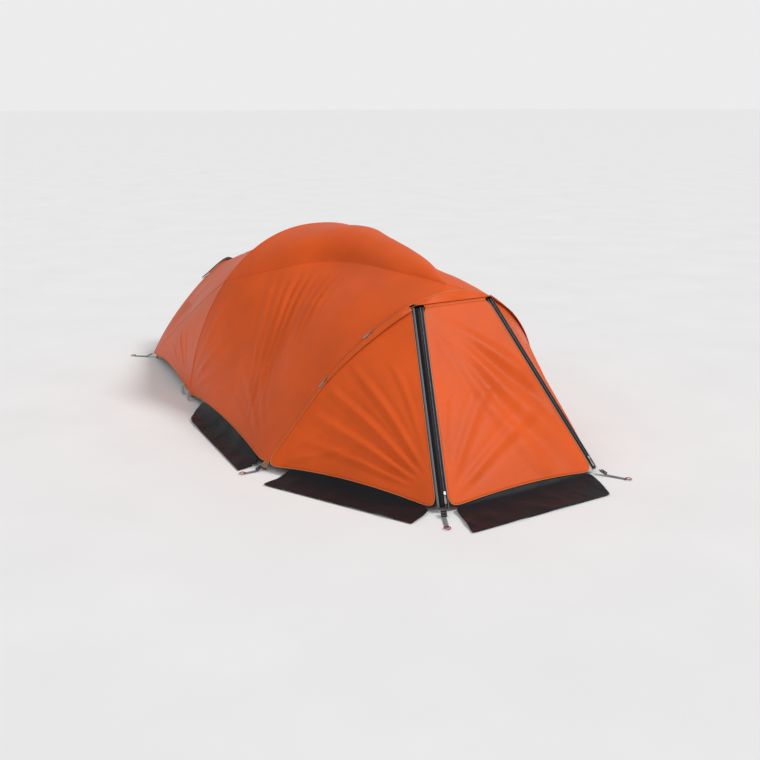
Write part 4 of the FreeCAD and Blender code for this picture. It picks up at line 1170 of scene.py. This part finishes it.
def make_stage():
    """The floor, the soft lights and the camera."""
    scene = bpy.context.scene
    mesh = bmesh.new()
    bmesh.ops.create_grid(mesh, x_segments=1, y_segments=1, size=300)
    floor = add_object("studio_floor", mesh, floor_material())
    floor.location.z = -0.0005
    world = bpy.data.worlds.new("Studio")
    scene.world = world
    world.use_nodes = True
    background = world.node_tree.nodes["Background"]
    seen = node(world.node_tree, "ShaderNodeLightPath")
    background.inputs["Color"].default_value = (1.0, 1.0, 1.0, 1)
    strength = maths(world.node_tree, "MULTIPLY_ADD", seen.outputs["Is Camera Ray"], SKY_LIGHT, SKY_LIGHT)
    world.node_tree.links.new(strength, background.inputs["Strength"])
    lamps = (("Key", (0.70, -0.75, 1.15), 1.55, 16), ("Fill", (-1.0, -0.5, 1.1), 0.45, 60))
    for name, way, energy, spread in lamps:
        data = bpy.data.lights.new(name, "SUN")
        data.energy = energy
        data.angle = math.radians(spread)
        light = bpy.data.objects.new(name, data)
        light.rotation_euler = (-Vector(way)).to_track_quat("-Z", "Y").to_euler()
        scene.collection.objects.link(light)
    data = bpy.data.cameras.new("Camera")
    data.lens = 46.56
    data.sensor_width = 36
    camera = bpy.data.objects.new("Camera", data)
    camera.location = (-2.932, -5.127, 1.805)
    camera.rotation_euler = (math.radians(90 - 15.657), 0, math.radians(-32.06))
    scene.collection.objects.link(camera)
    scene.camera = camera
    scene.view_settings.view_transform = "Standard"


# ------------------------------------------------------------------ operators and panel

def operator(name, label, text, work):
    """An operator class that runs one making step."""

    def execute(self, context):
        work()
        return {"FINISHED"}

    fields = {"bl_idname": f"tent.{name}", "bl_label": label, "bl_options": {"REGISTER", "UNDO"},
              "__doc__": text, "execute": execute}
    return type(f"TENT_OT_{name}", (bpy.types.Operator,), fields)


STEPS = [
    ("stage", "Stage", "Adds the floor, the lights and the camera", make_stage),
    ("cords", "Guy cords", "Adds the four tied-up guy cords", make_cords),
    ("canopy", "Fly", "Sews the fly over the sleeping space", make_canopy),
    ("rear", "Rear wall", "Adds the rear wall and its vent", make_rear),
    ("porch", "Porch", "Adds the porch doors and brow", make_porch),
    ("bands", "Zip bands", "Adds the storm bands over the straight zips", make_front_bands),
    ("hoop_zips", "Hoop zips", "Adds the curved zips", make_hoop_zips),
    ("flaps", "Snow flaps", "Lays the snow flaps on the ground", make_flaps),
    ("hood", "Vent hood", "Adds the hood over the rear vent", make_hood),
    ("inner", "Inner tent", "Hangs the inner tent", make_inner),
    ("inner_front", "Inner front", "Adds the inner tent's front wall and door", make_inner_front),
    ("floor_cloth", "Groundsheet", "Adds the tub floor", make_floor_cloth),
    ("straps", "Straps", "Adds the corner straps and stake loops", make_straps),
    ("finishes", "Finishes", "Gives the poles, sliders and fittings their finishes", make_kept),
]
OPERATORS = [operator(*step) for step in STEPS]


class TENT_PT_panel(bpy.types.Panel):
    """The tent's sizes, colours and making steps."""
    bl_label = "Mountain Tent"
    bl_space_type = "VIEW_3D"
    bl_region_type = "UI"
    bl_category = "Tent"

    def draw(self, context):
        """Lists the settings and the steps."""
        for group in (context.scene.tent_sizes, context.scene.tent_colours):
            for key in group.bl_rna.properties.keys():
                if key not in ("rna_type", "name"):
                    self.layout.prop(group, key)
        for name, *_ in STEPS:
            self.layout.operator(f"tent.{name}")


CLASSES = [TentSizes, TentColours, *OPERATORS, TENT_PT_panel]


def register():
    """Registers the add-on."""
    for item in CLASSES:
        bpy.utils.register_class(item)
    bpy.types.Scene.tent_sizes = PointerProperty(type=TentSizes)
    bpy.types.Scene.tent_colours = PointerProperty(type=TentColours)


def unregister():
    """Removes the add-on."""
    del bpy.types.Scene.tent_sizes
    del bpy.types.Scene.tent_colours
    for item in reversed(CLASSES):
        bpy.utils.unregister_class(item)


def main():
    """Builds the tent over the frame."""
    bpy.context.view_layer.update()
    register()
    for name, *_ in STEPS:
        getattr(bpy.ops.tent, name)()


if __name__ == "__main__":
    main()
